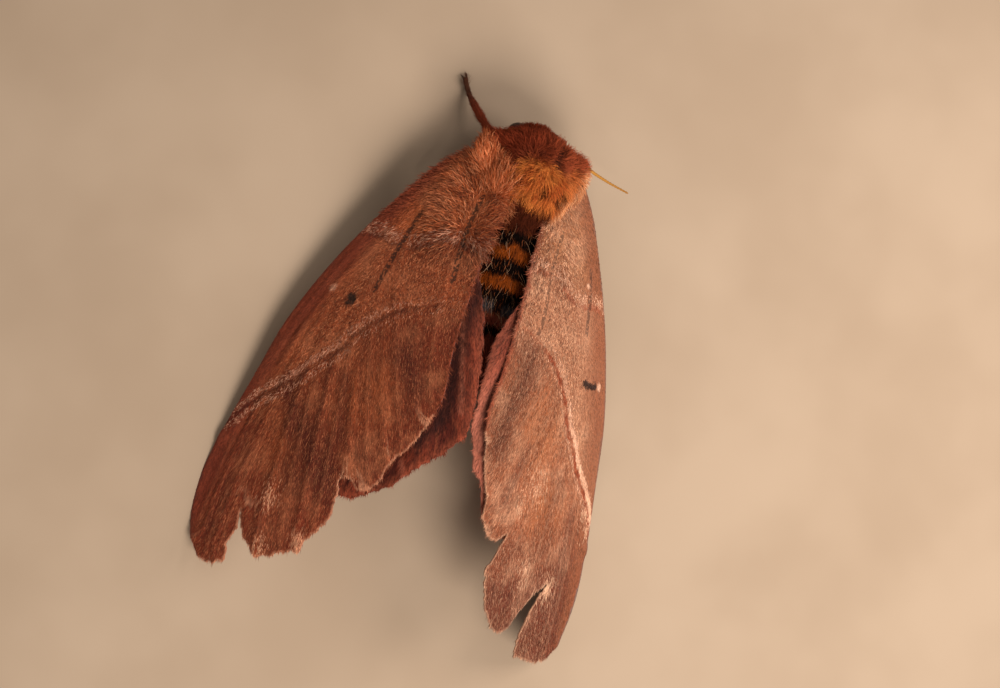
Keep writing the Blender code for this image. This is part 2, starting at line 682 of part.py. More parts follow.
def abdomen_body(name, grow):
    """The abdomen, a row of grooved segments, larger all round by the given amount."""
    count = ABDOMEN_SEGMENTS * RINGS_PER_SEGMENT
    sections = []
    for k in range(count + 1):
        share = k / count
        bulge = math.sin(math.pi * (0.27 + 0.70 * share)) ** 0.62
        groove = 1.0 - SEGMENT_GROOVE * (k % RINGS_PER_SEGMENT == 0 and 0 < k < count)
        drop = ABDOMEN_DROOP * share ** 1.6
        y = ABDOMEN_FRONT + grow - (ABDOMEN_LENGTH + 2 * grow) * share
        sections.append(ring(Vector((0.0, y, ABDOMEN_START_Z - drop)),
                             ABDOMEN_HALF_WIDTH * bulge * groove + grow,
                             ABDOMEN_HALF_HEIGHT * bulge * groove + grow, 20))
    return rings_to_object(name, sections)


def make_abdomen():
    finish(abdomen_body("abdomen", 0.0), "abdomen_hair")


def abdomen_block():
    """The abdomen with the gap round it."""
    return abdomen_body("abdomen_block", GAP)


def make_forewings():
    for side_name in SIDES:
        outline = even_line(LEADING_EDGE, 2.6)
        outline += [Vector(p) for p in OUTER_MARGIN[side_name]]
        outline += even_line(INNER_MARGIN, 2.6)
        wing = wing_plate(f"forewing_{side_name}", outline, FOREWING_VEINS,
                          lambda s, t, n=side_name: forewing_point(n, s, t))
        cut(wing, thorax_block())
        cut(wing, abdomen_block())
        cut(wing, floor_block())
        finish(wing, "wing_scales")


def make_hindwings():
    for side_name, side in SIDES.items():
        hub = Vector((side * HINDWING_HUB[0], HINDWING_HUB[1]))
        veins = []
        for end in HINDWING_VEIN_ENDS[side_name]:
            middle = hub.lerp(Vector(end), 0.45) + Vector((side * 0.9, 0.0))
            veins.append([hub.lerp(middle, 0.3), middle, end])
        wing = wing_plate(f"hindwing_{side_name}", HINDWING_OUTLINE[side_name], veins,
                          lambda x, y, n=side_name: hindwing_point(n, x, y))
        cut(wing, thorax_block())
        cut(wing, abdomen_block())
        finish(wing, "hindwing_scales")


def make_legs():
    for name, route in LEG_ROUTES.items():
        leg = tube(name, route, LEG_STEPS)
        cut(leg, thorax_block())
        cut(leg, head_block())
        cut(leg, abdomen_block())
        cut(leg, floor_block())
        finish(leg, "leg_hair")


def make_antennae():
    for name, route in ANTENNA_ROUTES.items():
        antenna = tube(name, route, ANTENNA_STEPS, ANTENNA_SIDES, ANTENNA_TOOTH)
        cut(antenna, head_block())
        finish(antenna, "antenna_horn")


def make_palps():
    for name, route in PALP_ROUTES.items():
        palp = tube(name, route, 3)
        cut(palp, head_block())
        finish(palp, "leg_hair")


def centre_on_origin():
    """Moves the whole moth so that the middle of its box stands on the origin."""
    corners = [v.co for obj in bpy.data.objects for v in obj.data.vertices]
    shift = [-(min(p[k] for p in corners) + max(p[k] for p in corners)) / 2 for k in range(2)]
    for obj in bpy.data.objects:
        obj.data.transform(Matrix.Translation((shift[0], shift[1], 0.0)))


def main():
    for obj in list(bpy.data.objects):
        bpy.data.objects.remove(obj)
    make_thorax()
    make_head()
    make_eyes()
    make_abdomen()
    make_forewings()
    make_hindwings()
    make_legs()
    make_antennae()
    make_palps()
    centre_on_origin()


main()
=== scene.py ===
# %% [markdown]
# # A resting moth with long, worn wings
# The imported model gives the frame: one body, with the floor at height zero, the head towards +Y and the
# back up. Each piece below is made in millimetres round the moth's own midplane and is scaled to metres at
# the end, because sizes of a tenth of a millimetre are easier to read that way. The wings stay thin
# sheets, one skin covers the body, and the hair and scales are solid slivers over both.

import json
import math
from types import SimpleNamespace

import bmesh
import bpy
import numpy as np
from mathutils import Matrix, Vector
from mathutils.geometry import delaunay_2d_cdt

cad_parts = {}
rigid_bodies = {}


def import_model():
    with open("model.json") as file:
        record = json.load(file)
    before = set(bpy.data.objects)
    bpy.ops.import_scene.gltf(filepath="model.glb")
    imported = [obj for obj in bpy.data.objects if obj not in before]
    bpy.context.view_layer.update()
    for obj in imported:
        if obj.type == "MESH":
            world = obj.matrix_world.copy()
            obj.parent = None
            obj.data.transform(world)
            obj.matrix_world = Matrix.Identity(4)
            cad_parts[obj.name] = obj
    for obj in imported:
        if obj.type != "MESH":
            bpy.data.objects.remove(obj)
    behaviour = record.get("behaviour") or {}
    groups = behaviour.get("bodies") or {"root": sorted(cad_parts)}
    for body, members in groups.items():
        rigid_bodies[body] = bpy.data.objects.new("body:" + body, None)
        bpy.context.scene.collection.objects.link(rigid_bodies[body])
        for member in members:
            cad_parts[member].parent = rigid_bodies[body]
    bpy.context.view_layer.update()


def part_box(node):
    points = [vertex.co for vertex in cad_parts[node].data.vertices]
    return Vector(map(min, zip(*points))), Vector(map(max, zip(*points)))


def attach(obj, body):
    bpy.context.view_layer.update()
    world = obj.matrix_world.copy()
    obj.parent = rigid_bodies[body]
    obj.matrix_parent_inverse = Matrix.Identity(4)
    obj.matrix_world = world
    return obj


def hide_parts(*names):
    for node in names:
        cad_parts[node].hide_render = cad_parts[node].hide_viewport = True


for startup_object in list(bpy.data.objects):
    bpy.data.objects.remove(startup_object)
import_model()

# %% [markdown]
# ## The moth's own frame
# The abdomen's box tells where the midplane is and where the thorax ends. Everything else hangs on those
# two lines, so the scene stays on the solids if they are packed again.

# %% Midplane and neck line
METRES = 0.001
THORAX_END = -7.5
SIDES = {"left": -1, "right": 1}
low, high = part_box("abdomen")
ORIGIN = np.array([(low.x + high.x) / 2, high.y - THORAX_END * METRES, 0.0]) / METRES
print("midplane and neck line at", ORIGIN.round(2))

# %% [markdown]
# ## Helpers for meshes
# A mesh is made from arrays of points and faces. Values that the finishes read, such as the distance to a
# line of the wing's pattern, are kept on the points as named attributes, and the hair that grows there
# takes them over.

# %% Meshes from arrays


def placed(name, data):
    """A mesh, camera or lamp as an object of the scene."""
    obj = bpy.data.objects.new(name, data)
    bpy.context.scene.collection.objects.link(obj)
    return obj


def new_object(name, points, faces):
    """A smooth mesh object from points and faces."""
    mesh = bpy.data.meshes.new(name)
    mesh.from_pydata([tuple(map(float, p)) for p in points], [], [tuple(map(int, f)) for f in faces])
    mesh.shade_smooth()
    return placed(name, mesh)


def vectors_of(items, name):
    """One of the vectors that points or an attribute hold, as an array."""
    values = np.empty(len(items) * 3, dtype=np.float32)
    items.foreach_get(name, values)
    return values.reshape(-1, 3).astype(float)


def set_points(obj, points):
    """Moves the points of a mesh."""
    obj.data.vertices.foreach_set("co", points.astype(np.float32).ravel())
    obj.data.update()


def keep(obj, name, values):
    """Stores a number or a vector for each point."""
    values = np.asarray(values, dtype=np.float32)
    kind = "FLOAT" if values.ndim == 1 else "FLOAT_VECTOR"
    attribute = obj.data.attributes.new(name, kind, "POINT")
    attribute.data.foreach_set("value" if values.ndim == 1 else "vector", values.ravel())


def face_out(obj):
    """Turns every face of a closed mesh outwards."""
    work = bmesh.new()
    work.from_mesh(obj.data)
    bmesh.ops.recalc_face_normals(work, faces=work.faces)
    work.to_mesh(obj.data)
    work.free()


def settle(obj, material, slot, *nodes):
    """Scales a piece to metres, sets it on the solids, gives it its material, hides the parts that it
    replaces and prints its triangles.
    """
    points = (vectors_of(obj.data.vertices, "co") + ORIGIN) * METRES
    points[:, 2] = np.maximum(points[:, 2], 0.0)
    set_points(obj, points)
    obj.data.materials.clear()
    obj.data.materials.append(material)
    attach(obj, "root")
    if nodes:
        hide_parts(*nodes)
    obj.data.calc_loop_triangles()
    print(obj.name, len(obj.data.loop_triangles), "triangles")

# %% Shares, rows of values and smooth lines


def smoothstep(start, end, value):
    """0 up to the start, 1 from the end on, and a soft rise between them."""
    share = np.clip((value - start) / (end - start), 0.0, 1.0)
    return share * share * (3.0 - 2.0 * share)


def fade(start, end, value):
    """1 up to the start, 0 from the end on, and a soft fall between them."""
    return 1.0 - smoothstep(start, end, value)


def columns(*values):
    """Values side by side for every point; a single number counts for all points."""
    return np.column_stack(np.broadcast_arrays(*values))


def unit(vectors):
    """Vectors of length 1."""
    return vectors / np.maximum(np.linalg.norm(vectors, axis=-1, keepdims=True), 1e-9)


def smooth_line(points, steps):
    """Points on a smooth curve through the given ones, steps to each span."""
    line = np.array(points, dtype=float)
    line = np.vstack([2 * line[0] - line[1], line, 2 * line[-1] - line[-2]])
    result = []
    for a, b, c, d in zip(line, line[1:], line[2:], line[3:]):
        for u in np.arange(steps) / steps:
            result.append(0.5 * (2 * b + (c - a) * u + (2 * a - 5 * b + 4 * c - d) * u * u
                                 + (3 * b - a - 3 * c + d) * u ** 3))
    return np.array(result + [line[-2]])


# %% [markdown]
# ## Helpers for materials
# A finish is a small tree of nodes. These helpers add a node and wire it in one line, so that each finish
# below reads as a recipe: which value drives it, where it starts and ends, and which two colours it mixes.

# %% Nodes in one line


def add(kind, inputs=(), tree=None, **settings):
    """Adds a node to a tree, or to the one that its inputs come from, and sets or wires its inputs."""
    wired = {key: value for key, value in dict(inputs).items() if isinstance(value, bpy.types.NodeSocket)}
    if tree is None:
        tree = next(iter(wired.values())).id_data
    node = tree.nodes.new(kind)
    for name, value in settings.items():
        setattr(node, name, value)
    for key, value in dict(inputs).items():
        if key in wired:
            tree.links.new(value, node.inputs[key])
        else:
            node.inputs[key].default_value = value
    return node


def maths(operation, a, b=0.0):
    """One sum on one value or two."""
    return add("ShaderNodeMath", {0: a, 1: b}, operation=operation).outputs[0]


def times(a, b):
    """The product of two values."""
    return maths("MULTIPLY", a, b)


def plus(a, b):
    """The sum of two values."""
    return maths("ADD", a, b)


def minus(a, b):
    """The difference of two values."""
    return maths("SUBTRACT", a, b)


def absolute(value):
    """A value without its sign."""
    return maths("ABSOLUTE", value)


def combined(x, y, z=0.0):
    """A vector from three values."""
    return add("ShaderNodeCombineXYZ", {0: x, 1: y, 2: z}).outputs[0]


def ramp(value, start, end, low_value=0.0, high_value=1.0):
    """A soft rise or fall from one value to another as the driving value goes from start to end."""
    inputs = {"Value": value, "From Min": start, "From Max": end, "To Min": low_value, "To Max": high_value}
    return add("ShaderNodeMapRange", inputs, interpolation_type="SMOOTHSTEP").outputs["Result"]

# %% Colours and noise


def light_of(tone):
    """A colour as seen on a screen, 0 to 255, turned into light; a wired colour stays as it is."""
    if isinstance(tone, bpy.types.NodeSocket):
        return tone
    shares = [value / 255 for value in tone]
    return (*[share / 12.92 if share <= 0.04045 else ((share + 0.055) / 1.055) ** 2.4 for share in shares],
            1.0)


def blend(share, first, second):
    """A mix of two colours."""
    inputs = {0: share, 6: light_of(first), 7: light_of(second)}
    return add("ShaderNodeMix", inputs, data_type="RGBA").outputs[2]


def vector_maths(operation, a, b=None, scale=None):
    """One sum on vectors, or on a vector and a scale."""
    inputs = {0: a}
    if b is not None:
        inputs[1] = b
    if scale is not None:
        inputs["Scale"] = scale
    return add("ShaderNodeVectorMath", inputs, operation=operation).outputs[0]


def noise(vector, scale, detail=2.0, roughness=0.5):
    """A soft random value about one half."""
    inputs = {"Vector": vector, "Scale": scale, "Detail": detail, "Roughness": roughness}
    return add("ShaderNodeTexNoise", inputs).outputs["Fac"]

# %% Values that points and hairs bring along


def kept(tree, name):
    """A vector that is kept on the points."""
    return add("ShaderNodeAttribute", tree=tree, attribute_name=name).outputs["Vector"]


def kept_value(tree, name):
    """A number that is kept on the points."""
    return add("ShaderNodeAttribute", tree=tree, attribute_name=name).outputs["Fac"]


def object_place(tree):
    """The place on the object, in metres."""
    return add("ShaderNodeTexCoord", tree=tree).outputs["Object"]


def layered(tone, layers):
    """A colour with others laid over it in turn, each by its own share."""
    for share, over in layers:
        tone = blend(share, tone, over)
    return tone


def picked(dice, share):
    """1 on the hairs that a share of all hairs takes in, 0 on the others."""
    return maths("LESS_THAN", dice, share)


def other_dice(dice, factor):
    """One more random value for each hair, made from the first."""
    return maths("FRACT", times(dice, factor))


def parts_of(vector):
    """The three numbers of a vector."""
    return add("ShaderNodeSeparateXYZ", {0: vector}).outputs

# %% A material and its surface


def new_material(name, roughness, sheen=0.0, gloss=0.15):
    """A material with its tree and its shader, ready for a colour."""
    material = bpy.data.materials.new(name)
    material.use_nodes = True
    shader = material.node_tree.nodes["Principled BSDF"]
    shader.inputs["Roughness"].default_value = roughness
    shader.inputs["Sheen Weight"].default_value = sheen
    shader.inputs["Specular IOR Level"].default_value = gloss
    return material, material.node_tree, shader


def show(shader, tone, brightness=None, height=None, strength=0.5, depth=0.00008):
    """Gives a shader its colour, the brightness of each hair, and a fine relief."""
    if brightness is not None:
        tone = add("ShaderNodeHueSaturation", {"Color": tone, "Value": brightness}).outputs[0]
    shader.id_data.links.new(tone, shader.inputs["Base Color"])
    if height is not None:
        relief = add("ShaderNodeBump", {"Height": height, "Strength": strength, "Distance": depth}).outputs[0]
        shader.id_data.links.new(relief, shader.inputs["Normal"])


# %% [markdown]
# ## Camera, floor and light
# The picture looks almost straight down on the moth, leaning a little over its left side. A long lens a
# quarter of a metre away gives that view. The floor is plain and pale. One broad lamp stands off the
# moth's wing tips, and a weaker one close to its right side, so the left wing lies in softer light.

# %% Camera
CAMERA_TARGET = Vector((2.06, -19.5, 6.0))
CAMERA_DISTANCE = 260.0
CAMERA_LEAN = math.radians(14.6)
CAMERA_PITCH = math.radians(2.9)
CAMERA_TURN = math.radians(15.8)
PICTURE_WIDTH = 1000
FOCAL_PIXELS = 2600.0
SENSOR_WIDTH = 36.0


def turned(place, back, above):
    """The matrix of a camera or lamp at a place, with what lies behind it and what is above it."""
    right = above.cross(back).normalized()
    rows = [[right[k], back.cross(right)[k], back[k]] for k in range(3)]
    return Matrix.Translation((place + Vector(ORIGIN)) * METRES) @ Matrix(rows).to_4x4()


view_back = Vector((-math.sin(CAMERA_LEAN) * math.cos(CAMERA_PITCH), -math.sin(CAMERA_PITCH),
                    math.cos(CAMERA_LEAN) * math.cos(CAMERA_PITCH)))
view_above = Vector((-math.sin(CAMERA_TURN), math.cos(CAMERA_TURN), 0.0))
camera = placed("camera", bpy.data.cameras.new("camera"))
camera.data.sensor_width = SENSOR_WIDTH
camera.data.lens = FOCAL_PIXELS / PICTURE_WIDTH * SENSOR_WIDTH
camera.data.clip_start = 0.01
camera.data.clip_end = 10.0
camera.matrix_world = turned(CAMERA_TARGET + view_back * CAMERA_DISTANCE, view_back, view_above)
bpy.context.scene.camera = camera
print("lens", round(camera.data.lens, 1), "mm")

# %% Floor
FLOOR_HALF = 600.0
floor_corners = np.array([(-1, -1, 0), (1, -1, 0), (1, 1, 0), (-1, 1, 0)]) * FLOOR_HALF * METRES
floor = new_object("floor", floor_corners, [(0, 1, 2, 3)])
floor_material, tree, shader = new_material("floor_plaster", 0.9)
mottled = ramp(noise(object_place(tree), 45.0, 3.0), 0.3, 0.7)
show(shader, blend(mottled, (162, 140, 119), (172, 150, 129)))
floor.data.materials.append(floor_material)

# %% Lamps


def lamp(name, aim, distance, size, watts, tint):
    """A soft square lamp that shines on the moth from a direction of the picture: right, up, near."""
    across = view_above.cross(view_back).normalized()
    above = view_back.cross(across)
    back = (across * aim[0] + above * aim[1] + view_back * aim[2]).normalized()
    light = bpy.data.lights.new(name, "AREA")
    light.size = size * METRES
    light.energy = watts
    light.color = tint
    obj = placed(name, light)
    obj.matrix_world = turned(CAMERA_TARGET + back * distance, back, Vector((0.0, 1.0, 0.01)))


lamp("key", (0.42, -0.85, 0.9), distance=240.0, size=120.0, watts=0.62, tint=(1.0, 0.94, 0.86))
lamp("side", (1.0, 0.1, 0.6), distance=120.0, size=70.0, watts=0.1, tint=(1.0, 0.93, 0.86))
world = bpy.data.worlds.new("studio")
world.use_nodes = True
sky = world.node_tree.nodes["Background"].inputs
sky["Color"].default_value = (1.0, 0.94, 0.87, 1.0)
sky["Strength"].default_value = 0.38
bpy.context.scene.world = world
bpy.context.scene.view_settings.view_transform = "Standard"
print("two lamps and a sky")

# %% [markdown]
# ## The shape of a forewing
# A forewing is a flat membrane on a stiff leading edge. It has its own two coordinates: s runs from the
# hinge along the leading edge, and t runs across towards the trailing edge. At rest the wing slopes up
# from the floor like half a roof and curls flatter towards the back's middle. These functions are the
# ones that the solids were made with, so a point of the pattern always lands on its wing.

# %% Forewing surface
HINGE = np.array([4.2, -2.0, 7.15])
WING_LENGTH = 50.0
PROBE = 0.05
SEARCH_ROUNDS = 12
FOREWING_PLACE = {
    "left": dict(spread=20.0, dip=6.65, slope=40.5, curl=0.0135, bow=3.4, lift=0.5, twist=4.0),
    "right": dict(spread=14.8, dip=6.6, slope=40.5, curl=0.0140, bow=2.6, lift=0.4, twist=7.0),
}


def forewing_surface(side_name, s, t):
    """Points of a forewing's middle surface."""
    side = SIDES[side_name]
    wing = FOREWING_PLACE[side_name]
    spread = math.radians(wing["spread"])
    dip = math.radians(wing["dip"])
    along = np.array([side * math.sin(spread) * math.cos(dip), -math.cos(spread) * math.cos(dip),
                      -math.sin(dip)])
    inward = np.array([-side * math.cos(spread), -math.sin(spread), 0.0])
    upward = np.cross(along, inward)
    upward *= np.sign(upward[2])
    slope = np.radians(wing["slope"] + wing["twist"] * (s / WING_LENGTH - 0.5))
    curl = wing["curl"]
    across = (np.sin(slope) - np.sin(slope - curl * t)) / curl
    rise = (np.cos(slope - curl * t) - np.cos(slope)) / curl
    arch = np.sin(np.pi * np.maximum(s, 0.0) / WING_LENGTH)
    root = HINGE * (side, 1.0, 1.0)
    return (root + s[:, None] * along + (across - wing["bow"] * arch)[:, None] * inward
            + rise[:, None] * upward + (wing["lift"] * arch)[:, None] * (0.0, 0.0, 1.0))


def forewing_height(side_name, x, y):
    """Height of a forewing's middle surface above points of the floor, found step by step."""
    s = (HINGE[1] - y) / math.cos(math.radians(FOREWING_PLACE[side_name]["spread"]))
    t = np.full_like(s, 3.0)
    for _ in range(SEARCH_ROUNDS):
        here = forewing_surface(side_name, s, t)
        ds = (forewing_surface(side_name, s + PROBE, t) - here) / PROBE
        dt = (forewing_surface(side_name, s, t + PROBE) - here) / PROBE
        det = ds[:, 0] * dt[:, 1] - ds[:, 1] * dt[:, 0]
        ex = x - here[:, 0]
        ey = y - here[:, 1]
        s = s + (ex * dt[:, 1] - ey * dt[:, 0]) / det
        t = t + (ds[:, 0] * ey - ds[:, 1] * ex) / det
    return forewing_surface(side_name, s, t)[:, 2]


# %% [markdown]
# ## The shape of a hindwing
# The hindwings lie folded under the forewings and meet over the abdomen as a low ridge. Their outlines
# are given as seen from above. Where the ridge would come through a forewing, the surface stays a little
# below it.

# %% Hindwing surface
RIDGE_Z = 12.7
RIDGE_X = -0.3
RIDGE_SIDE_SLOPE = 0.6
RIDGE_ROUND = 2.0
COVER_CLEARANCE = 0.45
COVER_BLEND = 0.35


def hindwing_surface(side_name, x, y):
    """Points of a hindwing's middle surface."""
    out = SIDES[side_name] * (x - RIDGE_X)
    fall = np.sqrt(out * out + RIDGE_ROUND ** 2) - RIDGE_ROUND
    ridge = RIDGE_Z - RIDGE_SIDE_SLOPE * fall
    cover = forewing_height(side_name, x, y) - COVER_CLEARANCE
    spare = np.minimum(np.abs(ridge - cover) / COVER_BLEND, 40.0)
    z = np.minimum(ridge, cover) - COVER_BLEND * np.log1p(np.exp(-spare))
    return np.column_stack([x, y, z])


# %% [markdown]
# ## Cutting a wing out of its surface
# A wing is a sheet about a sixth of a millimetre thick, so both faces can be a net of small triangles
# with a border that carries the wear of its outer margin. The net is even, because the pattern and the
# hair read their values from its points. Veins stand up in it as low ridges, and the membrane between
# them sags into shallow pleats.

# %% Distances from a line
FAR = 1e9


def line_near(points, line):
    """For points near a line: the distance, the way out from it, its own way there, and the side."""
    best = np.full(len(points), FAR)
    side = np.ones(len(points))
    out = np.zeros((len(points), 2))
    way = np.zeros((len(points), 2))
    for a, b in zip(line[:-1], line[1:]):
        ab = b - a
        share = np.clip(((points - a) @ ab) / max(ab @ ab, 1e-12), 0.0, 1.0)
        away = points - a - share[:, None] * ab
        distance = np.hypot(away[:, 0], away[:, 1])
        nearer = distance < best
        turn = ab[1] * (points[:, 0] - a[0]) - ab[0] * (points[:, 1] - a[1])
        side = np.where(nearer, np.where(turn < 0.0, -1.0, 1.0), side)
        best = np.where(nearer, distance, best)
        out[nearer] = away[nearer]
        way[nearer] = ab
    return best, unit(out), unit(way), side


def line_distance(points, line):
    """Distance of points from a line, negative on one side of it."""
    distance, _, _, side = line_near(points, line)
    return distance * side

# %% An even net inside an outline
NET_STEP = 0.42
NET_ROW = 0.87
NET_CLEARANCE = 0.45
NET_TOLERANCE = 0.005
FRAY = 0.13
FRAY_STEP = 0.8


def is_inside(points, border):
    """Which points lie inside a closed border."""
    result = np.zeros(len(points), dtype=bool)
    for (ax, ay), (bx, by) in zip(border, np.roll(border, -1, axis=0)):
        if ay != by:
            spans = (ay > points[:, 1]) != (by > points[:, 1])
            result ^= spans & (points[:, 0] < ax + (points[:, 1] - ay) * (bx - ax) / (by - ay))
    return result


def even_steps(line, step):
    """A line cut into equal short lengths."""
    lengths = np.concatenate([[0.0], np.cumsum(np.hypot(*np.diff(line, axis=0).T))])
    goals = np.linspace(0.0, lengths[-1], max(2, round(lengths[-1] / step)) + 1)
    return np.column_stack([np.interp(goals, lengths, line[:, k]) for k in range(2)])


def frayed(line, dice):
    """A worn margin: each point moved a little in or out."""
    points = even_steps(line, NET_STEP * FRAY_STEP)
    along = np.gradient(points, axis=0)
    normal = unit(np.column_stack([-along[:, 1], along[:, 0]]))
    shift = dice.uniform(-FRAY, FRAY, len(points))
    shift[[0, -1]] = 0.0
    return points + normal * shift[:, None]


def wing_net(border):
    """An even net of triangles inside a border."""
    low_corner = border.min(axis=0)
    high_corner = border.max(axis=0)
    rows = []
    for k, v in enumerate(np.arange(low_corner[1], high_corner[1], NET_STEP * NET_ROW)):
        u = np.arange(low_corner[0] + NET_STEP * 0.5 * (k % 2), high_corner[0], NET_STEP)
        rows.append(np.column_stack([u, np.full_like(u, v)]))
    grid = np.vstack(rows)
    grid = grid[is_inside(grid, border)]
    closed = np.vstack([border, border[:1]])
    grid = grid[np.abs(line_distance(grid, closed)) > NET_STEP * NET_CLEARANCE]
    corners = [Vector(p) for p in np.vstack([border, grid])]
    net = delaunay_2d_cdt(corners, [], [list(range(len(border)))], 1, NET_TOLERANCE)
    return np.array([tuple(p) for p in net[0]]), [tuple(f) for f in net[2]]

# %% A sheet on a surface
SHEET_THICKNESS = 0.16


def sheet_object(name, flat, faces, surface, relief):
    """A thin closed sheet on a surface, and the two ways along that surface at each point."""
    u, v = flat.T
    du = surface(u + PROBE, v) - surface(u - PROBE, v)
    dv = surface(u, v + PROBE) - surface(u, v - PROBE)
    normal = unit(np.cross(du, dv))
    normal *= np.where(normal[:, 2:] < 0.0, -1.0, 1.0)
    middle = surface(u, v) + normal * relief[:, None]
    points = np.vstack([middle + normal * SHEET_THICKNESS / 2, middle - normal * SHEET_THICKNESS / 2])
    count = len(flat)
    skin = list(faces) + [tuple(count + i for i in reversed(f)) for f in faces]
    directed = {(f[i], f[(i + 1) % len(f)]) for f in faces for i in range(len(f))}
    for a, b in directed:
        if (b, a) not in directed:
            skin.append((b, a, count + a, count + b))
    obj = new_object(name, points, skin)
    face_out(obj)
    return obj, unit(du), unit(dv)


# %% [markdown]
# ## The pattern of a forewing
# Two lines cross the wing: one near the root, and a longer one beyond the middle. A dark spot marks the
# end of the cell, and rows of dark dots follow two folds, where the coat is short. Each point of the wing
# keeps its distance to these marks, in millimetres, and the finish turns the distances into colour. Lines
# and veins are one set for both wings, because a moth's wings mirror each other. The folds, the dusky
# areas, the worn patches and the torn margin belong to this one moth, so each wing has its own.

# %% Outlines of the forewings
LEADING_EDGE = [(0.4, -2.6), (4.0, -3.5), (8.0, -3.8), (13.0, -4.1), (18.0, -4.2), (25.0, -4.1),
                (31.0, -3.7), (36.0, -3.7), (41.0, -3.8), (45.0, -3.1), (47.4, -1.9), (49.0, 0.1)]
INNER_MARGIN = [(23.9, 14.9), (21.8, 14.5), (19.3, 13.1), (16.3, 11.5), (13.0, 9.9), (9.8, 8.2),
                (6.5, 6.5), (3.6, 4.7), (0.4, 2.6)]
OUTER_MARGIN = {
    "left": [(48.6, 1.9), (47.6, 3.3), (46.1, 2.6), (44.4, 3.0), (42.5, 2.3), (44.5, 3.9), (45.4, 6.3),
             (44.2, 7.8), (42.9, 9.2), (42.4, 10.4), (41.4, 10.2), (40.3, 10.7), (38.3, 11.5),
             (36.5, 11.3), (35.2, 10.9), (34.0, 10.4), (33.5, 11.6), (34.2, 12.6), (33.4, 13.8),
             (32.0, 14.1), (29.8, 14.1), (27.3, 14.9)],
    "right": [(48.8, 2.6), (47.5, 6.6), (46.8, 7.0), (44.8, 6.4), (43.3, 5.7), (42.2, 4.7), (40.6, 2.8),
              (41.0, 4.8), (42.6, 6.8), (44.4, 8.8), (44.6, 10.0), (43.8, 11.4), (41.8, 12.8),
              (38.9, 13.3), (37.8, 13.5), (36.9, 12.8), (35.9, 12.0), (34.3, 10.9), (35.0, 12.7),
              (34.1, 14.0), (32.3, 14.8), (30.3, 14.5), (26.3, 15.0)],
}
MARGIN_STEPS = 8
print("corners of the torn margins:", {name: len(margin) for name, margin in OUTER_MARGIN.items()})

# %% Veins and cross lines
CURVE_STEPS = 6
FOREWING_VEINS = [
    [(2.5, -1.8), (10.0, -2.7), (20.0, -3.1), (30.0, -3.0), (37.0, -2.9)],
    [(2.5, -1.0), (8.0, -1.4), (15.0, -1.8), (20.0, -2.0), (30.0, -1.9), (39.0, -2.0), (46.0, -1.4)],
    [(24.0, -1.9), (33.0, -0.6), (41.0, 0.0), (48.2, 0.9)],
    [(20.4, -1.3), (28.0, -0.1), (35.0, 0.8), (42.0, 1.5), (46.6, 2.1)],
    [(20.4, 0.0), (27.0, 2.2), (34.0, 4.8), (40.0, 7.0), (43.6, 8.4)],
    [(18.6, 1.5), (25.0, 4.6), (31.0, 7.4), (36.5, 9.6), (40.0, 10.6)],
    [(16.8, 1.9), (22.0, 5.2), (27.0, 8.9), (31.2, 11.9), (32.8, 13.3)],
    [(12.5, 1.0), (17.0, 4.4), (22.0, 8.6), (26.0, 12.2), (28.2, 14.1)],
    [(2.5, 1.6), (7.9, 4.3), (14.5, 7.9), (19.5, 11.0), (22.8, 13.7)],
    [(2.5, -0.2), (8.2, -0.2), (12.5, 1.0), (16.8, 1.9), (18.6, 1.5), (20.4, 0.0), (20.4, -1.3)],
]
INNER_LINE = [(13.2, -5.0), (12.8, -4.0), (12.1, -2.0), (11.9, 0.0), (10.9, 1.6), (9.1, 3.4), (8.2, 5.9),
              (8.0, 8.0)]
OUTER_LINE = [(37.0, -4.2), (35.8, -3.3), (32.5, -1.5), (29.6, 0.5), (26.0, 2.1), (24.6, 2.9), (22.0, 3.4),
              (18.4, 4.9), (16.0, 7.0), (14.2, 9.2), (13.4, 11.0)]
print(len(FOREWING_VEINS) - 1, "veins and the rim of the cell")

# %% Marks of each wing
FOLDS = {"left": [[(8.3, -0.7), (12.8, 0.4), (17.5, 1.7)],
                  [(3.7, 2.8), (5.3, 3.4), (6.9, 4.1), (9.4, 5.5), (12.4, 7.3)]],
         "right": [[(9.0, -2.1), (12.0, -1.5), (15.5, -0.6)],
                   [(5.1, 2.0), (8.3, 4.2), (9.9, 4.9), (13.5, 6.3), (15.0, 7.4)]]}
SPOTS = {"left": [[(19.2, 0.3), (19.8, 0.4)]], "right": [[(20.4, 0.0), (20.7, -1.0), (20.9, -2.0)]]}
SPOT_HALF_WIDTH = {"left": 0.55, "right": 0.4}
PALE_SPOTS = {"left": [(19.6, -2.1, 0.4), (19.7, 1.4, 0.22)], "right": [(21.0, -2.7, 0.4), (10.6, -1.4, 0.3)]}
WORN_PATCHES = {"left": [(39.7, 4.7, 0.8), (44.1, 6.4, 0.6), (41.6, 9.9, 0.8), (34.1, 11.1, 0.6)],
                "right": [(29.7, 7.2, 1.3), (31.6, 9.3, 0.7), (38.9, 7.5, 0.9), (41.2, 3.0, 1.0),
                          (34.2, -2.2, 1.0), (36.0, -2.8, 0.7)]}
TAN_PATCHES = {"left": [(25.2, 7.8, 3.6), (34.2, 3.8, 2.6), (31.5, 1.5, 2.2)],
               "right": [(24.5, 7.0, 3.2), (33.0, 5.5, 2.6)]}
STREAKS = {"left": [[(33.1, 2.9), (37.4, 6.8)], [(31.9, 7.5), (36.6, 10.6)], [(26.0, 5.2), (31.0, 8.2)]],
           "right": [[(30.0, 3.2), (36.5, 5.6)], [(26.0, 8.8), (31.0, 12.0)], [(33.5, 0.6), (40.0, 1.6)],
                     [(43.0, 2.4), (47.5, 3.6)], [(40.4, 9.8), (43.8, 10.8)], [(39.6, 12.2), (43.2, 12.0)]]}
